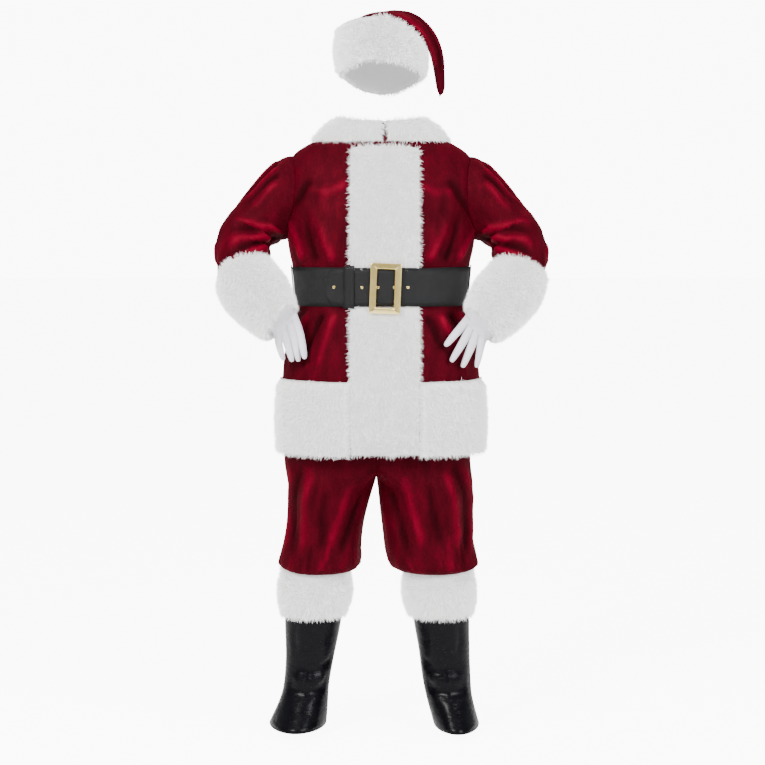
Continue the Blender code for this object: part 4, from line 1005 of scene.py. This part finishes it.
def buckleFrame():
    choice = buckleChoice
    (barX, barZ), edge, thick, corner = choice["bar"], choice["edge"], choice["thick"], choice["corner"]
    innerTop, innerMiddle, innerLow = choice["innerCorners"]
    rounds = [  # inset in x and z, radius of the corners, how far in front of the strap
        ((0, 0), corner, 0.0),
        ((0, 0), corner, thick - edge),
        ((edge * 0.35, edge * 0.35), corner, thick - edge * 0.3),
        ((edge, edge), corner, thick),
        ((barX - edge * 1.6, barZ - edge * 1.6), innerTop, thick),
        ((barX - edge * 0.6, barZ - edge * 0.6), innerMiddle, thick * 0.72),
        ((barX, barZ), innerLow, thick * 0.4),
        ((barX, barZ), innerLow, 0.0),
    ]
    points = [point for inset, radius, depth in rounds for point in frameRound(inset, radius, depth)]
    count = len(points) // len(rounds)
    faces = []
    for ring in range(len(rounds)):
        after = (ring + 1) % len(rounds)
        for step in range(count):
            following = (step + 1) % count
            faces.append((
                ring * count + step, ring * count + following,
                after * count + following, after * count + step,
            ))
    made = bpy.data.meshes.new("belt_buckle_frame")
    made.from_pydata(points, [], faces)
    shape = bmesh.new()
    shape.from_mesh(made)
    bmesh.ops.recalc_face_normals(shape, faces=shape.faces)
    shape.to_mesh(made)
    shape.free()
    made.shade_smooth()
    made.set_sharp_from_angle(angle=math.radians(38))
    piece = bpy.data.objects.new("belt_buckle_frame", made)
    scene.collection.objects.link(piece)
    return piece


buckle = buckleFrame()
dress(buckle, "brass")
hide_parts("belt_buckle")
print("belt made")
studio = {
    "floorHeight": -shoulderHeight - 0.0005, "reach": 60.0, "key": 430.0, "fill": 250.0, "top": 70.0,
    "air": 0.50, "glow": 9.0, "sky": 1.12, "aim": (0, 0, -0.4),
}
mesh = bpy.data.meshes.new("studio_floor")
mesh.from_pydata(
    [
        (x * studio["reach"], y * studio["reach"], studio["floorHeight"])
        for x, y in ((-1, -1), (1, -1), (1, 1), (-1, 1))
    ],
    [], [(0, 1, 2, 3)],
)
mesh.shade_smooth()
stage = bpy.data.objects.new("studio_floor", mesh)
scene.collection.objects.link(stage)
floorLook = Look("pale_floor", (0.86, 0.86, 0.86), {"Roughness": 0.9, "Specular IOR Level": 0.1})
floorLook.finish("Base Color", floorLook.mixed(
    floorLook.grain(3.0), colour(0.85, 0.85, 0.85), colour(0.88, 0.88, 0.88),
))
seen = floorLook.node("ShaderNodeLightPath", {}, {}, "Is Camera Ray")
floorLook.finish("Emission Color", floorLook.mixed(
    seen, colour(0.045, 0.045, 0.045), colour(1.0, 1.0, 1.0),  # fully white for the camera only
))
floorLook.shader.inputs["Emission Strength"].default_value = studio["glow"]
mesh.materials.append(floorLook.material)
stage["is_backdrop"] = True

lamps = [  # name, place, size, power, colour
    ("key_light", (-2.6, -3.6, 2.2), 2.0, studio["key"], (1.0, 0.98, 0.96)),
    ("fill_light", (3.0, -3.2, 1.2), 2.4, studio["fill"], (0.97, 0.98, 1.0)),
    ("top_light", (0.0, -0.6, 3.2), 2.6, studio["top"], (1.0, 1.0, 1.0)),
]
for name, spot, size, power, tint in lamps:
    lamp = bpy.data.lights.new(name, "AREA")
    lamp.size, lamp.energy, lamp.color = size, power, tint
    lamp.shape = "DISK"
    placed = bpy.data.objects.new(name, lamp)
    placed.location = spot
    placed.rotation_euler = (Vector(studio["aim"]) - Vector(spot)).to_track_quat("-Z", "Y").to_euler()
    placed.visible_camera = False
    scene.collection.objects.link(placed)
world = bpy.data.worlds.new("studio_air")
world.use_nodes = True
air = world.node_tree.nodes["Background"]
seen = world.node_tree.nodes.new("ShaderNodeLightPath")
# the camera sees a white backdrop, the object a softer air
tones = world.node_tree.nodes.new("ShaderNodeMix")
tones.data_type = "RGBA"
white = studio["glow"] * studio["sky"]
dim = studio["air"] / white
tones.inputs[6].default_value, tones.inputs[7].default_value = colour(dim, dim, dim), colour(1.0, 1.0, 1.0)
world.node_tree.links.new(seen.outputs["Is Camera Ray"], tones.inputs[0])
world.node_tree.links.new(tones.outputs[2], air.inputs["Color"])
air.inputs["Strength"].default_value = white
scene.world = world

view = {"tilt": 2.91, "lens": 92.65, "shift": -0.06, "place": (0.0038, -5.0, -0.1976)}
camera = bpy.data.cameras.new("photo_view")
camera.lens, camera.sensor_width, camera.shift_y = view["lens"], 36.0, view["shift"]
camera.clip_start, camera.clip_end = 0.1, 60.0
cameraObject = bpy.data.objects.new("photo_view", camera)
cameraObject.location = view["place"]
cameraObject.rotation_euler = (math.radians(90 - view["tilt"]), 0, 0)
scene.collection.objects.link(cameraObject)
scene.camera = cameraObject

low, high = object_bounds()
print("size", [round((high - low)[i] * 1000, 1) for i in range(3)])
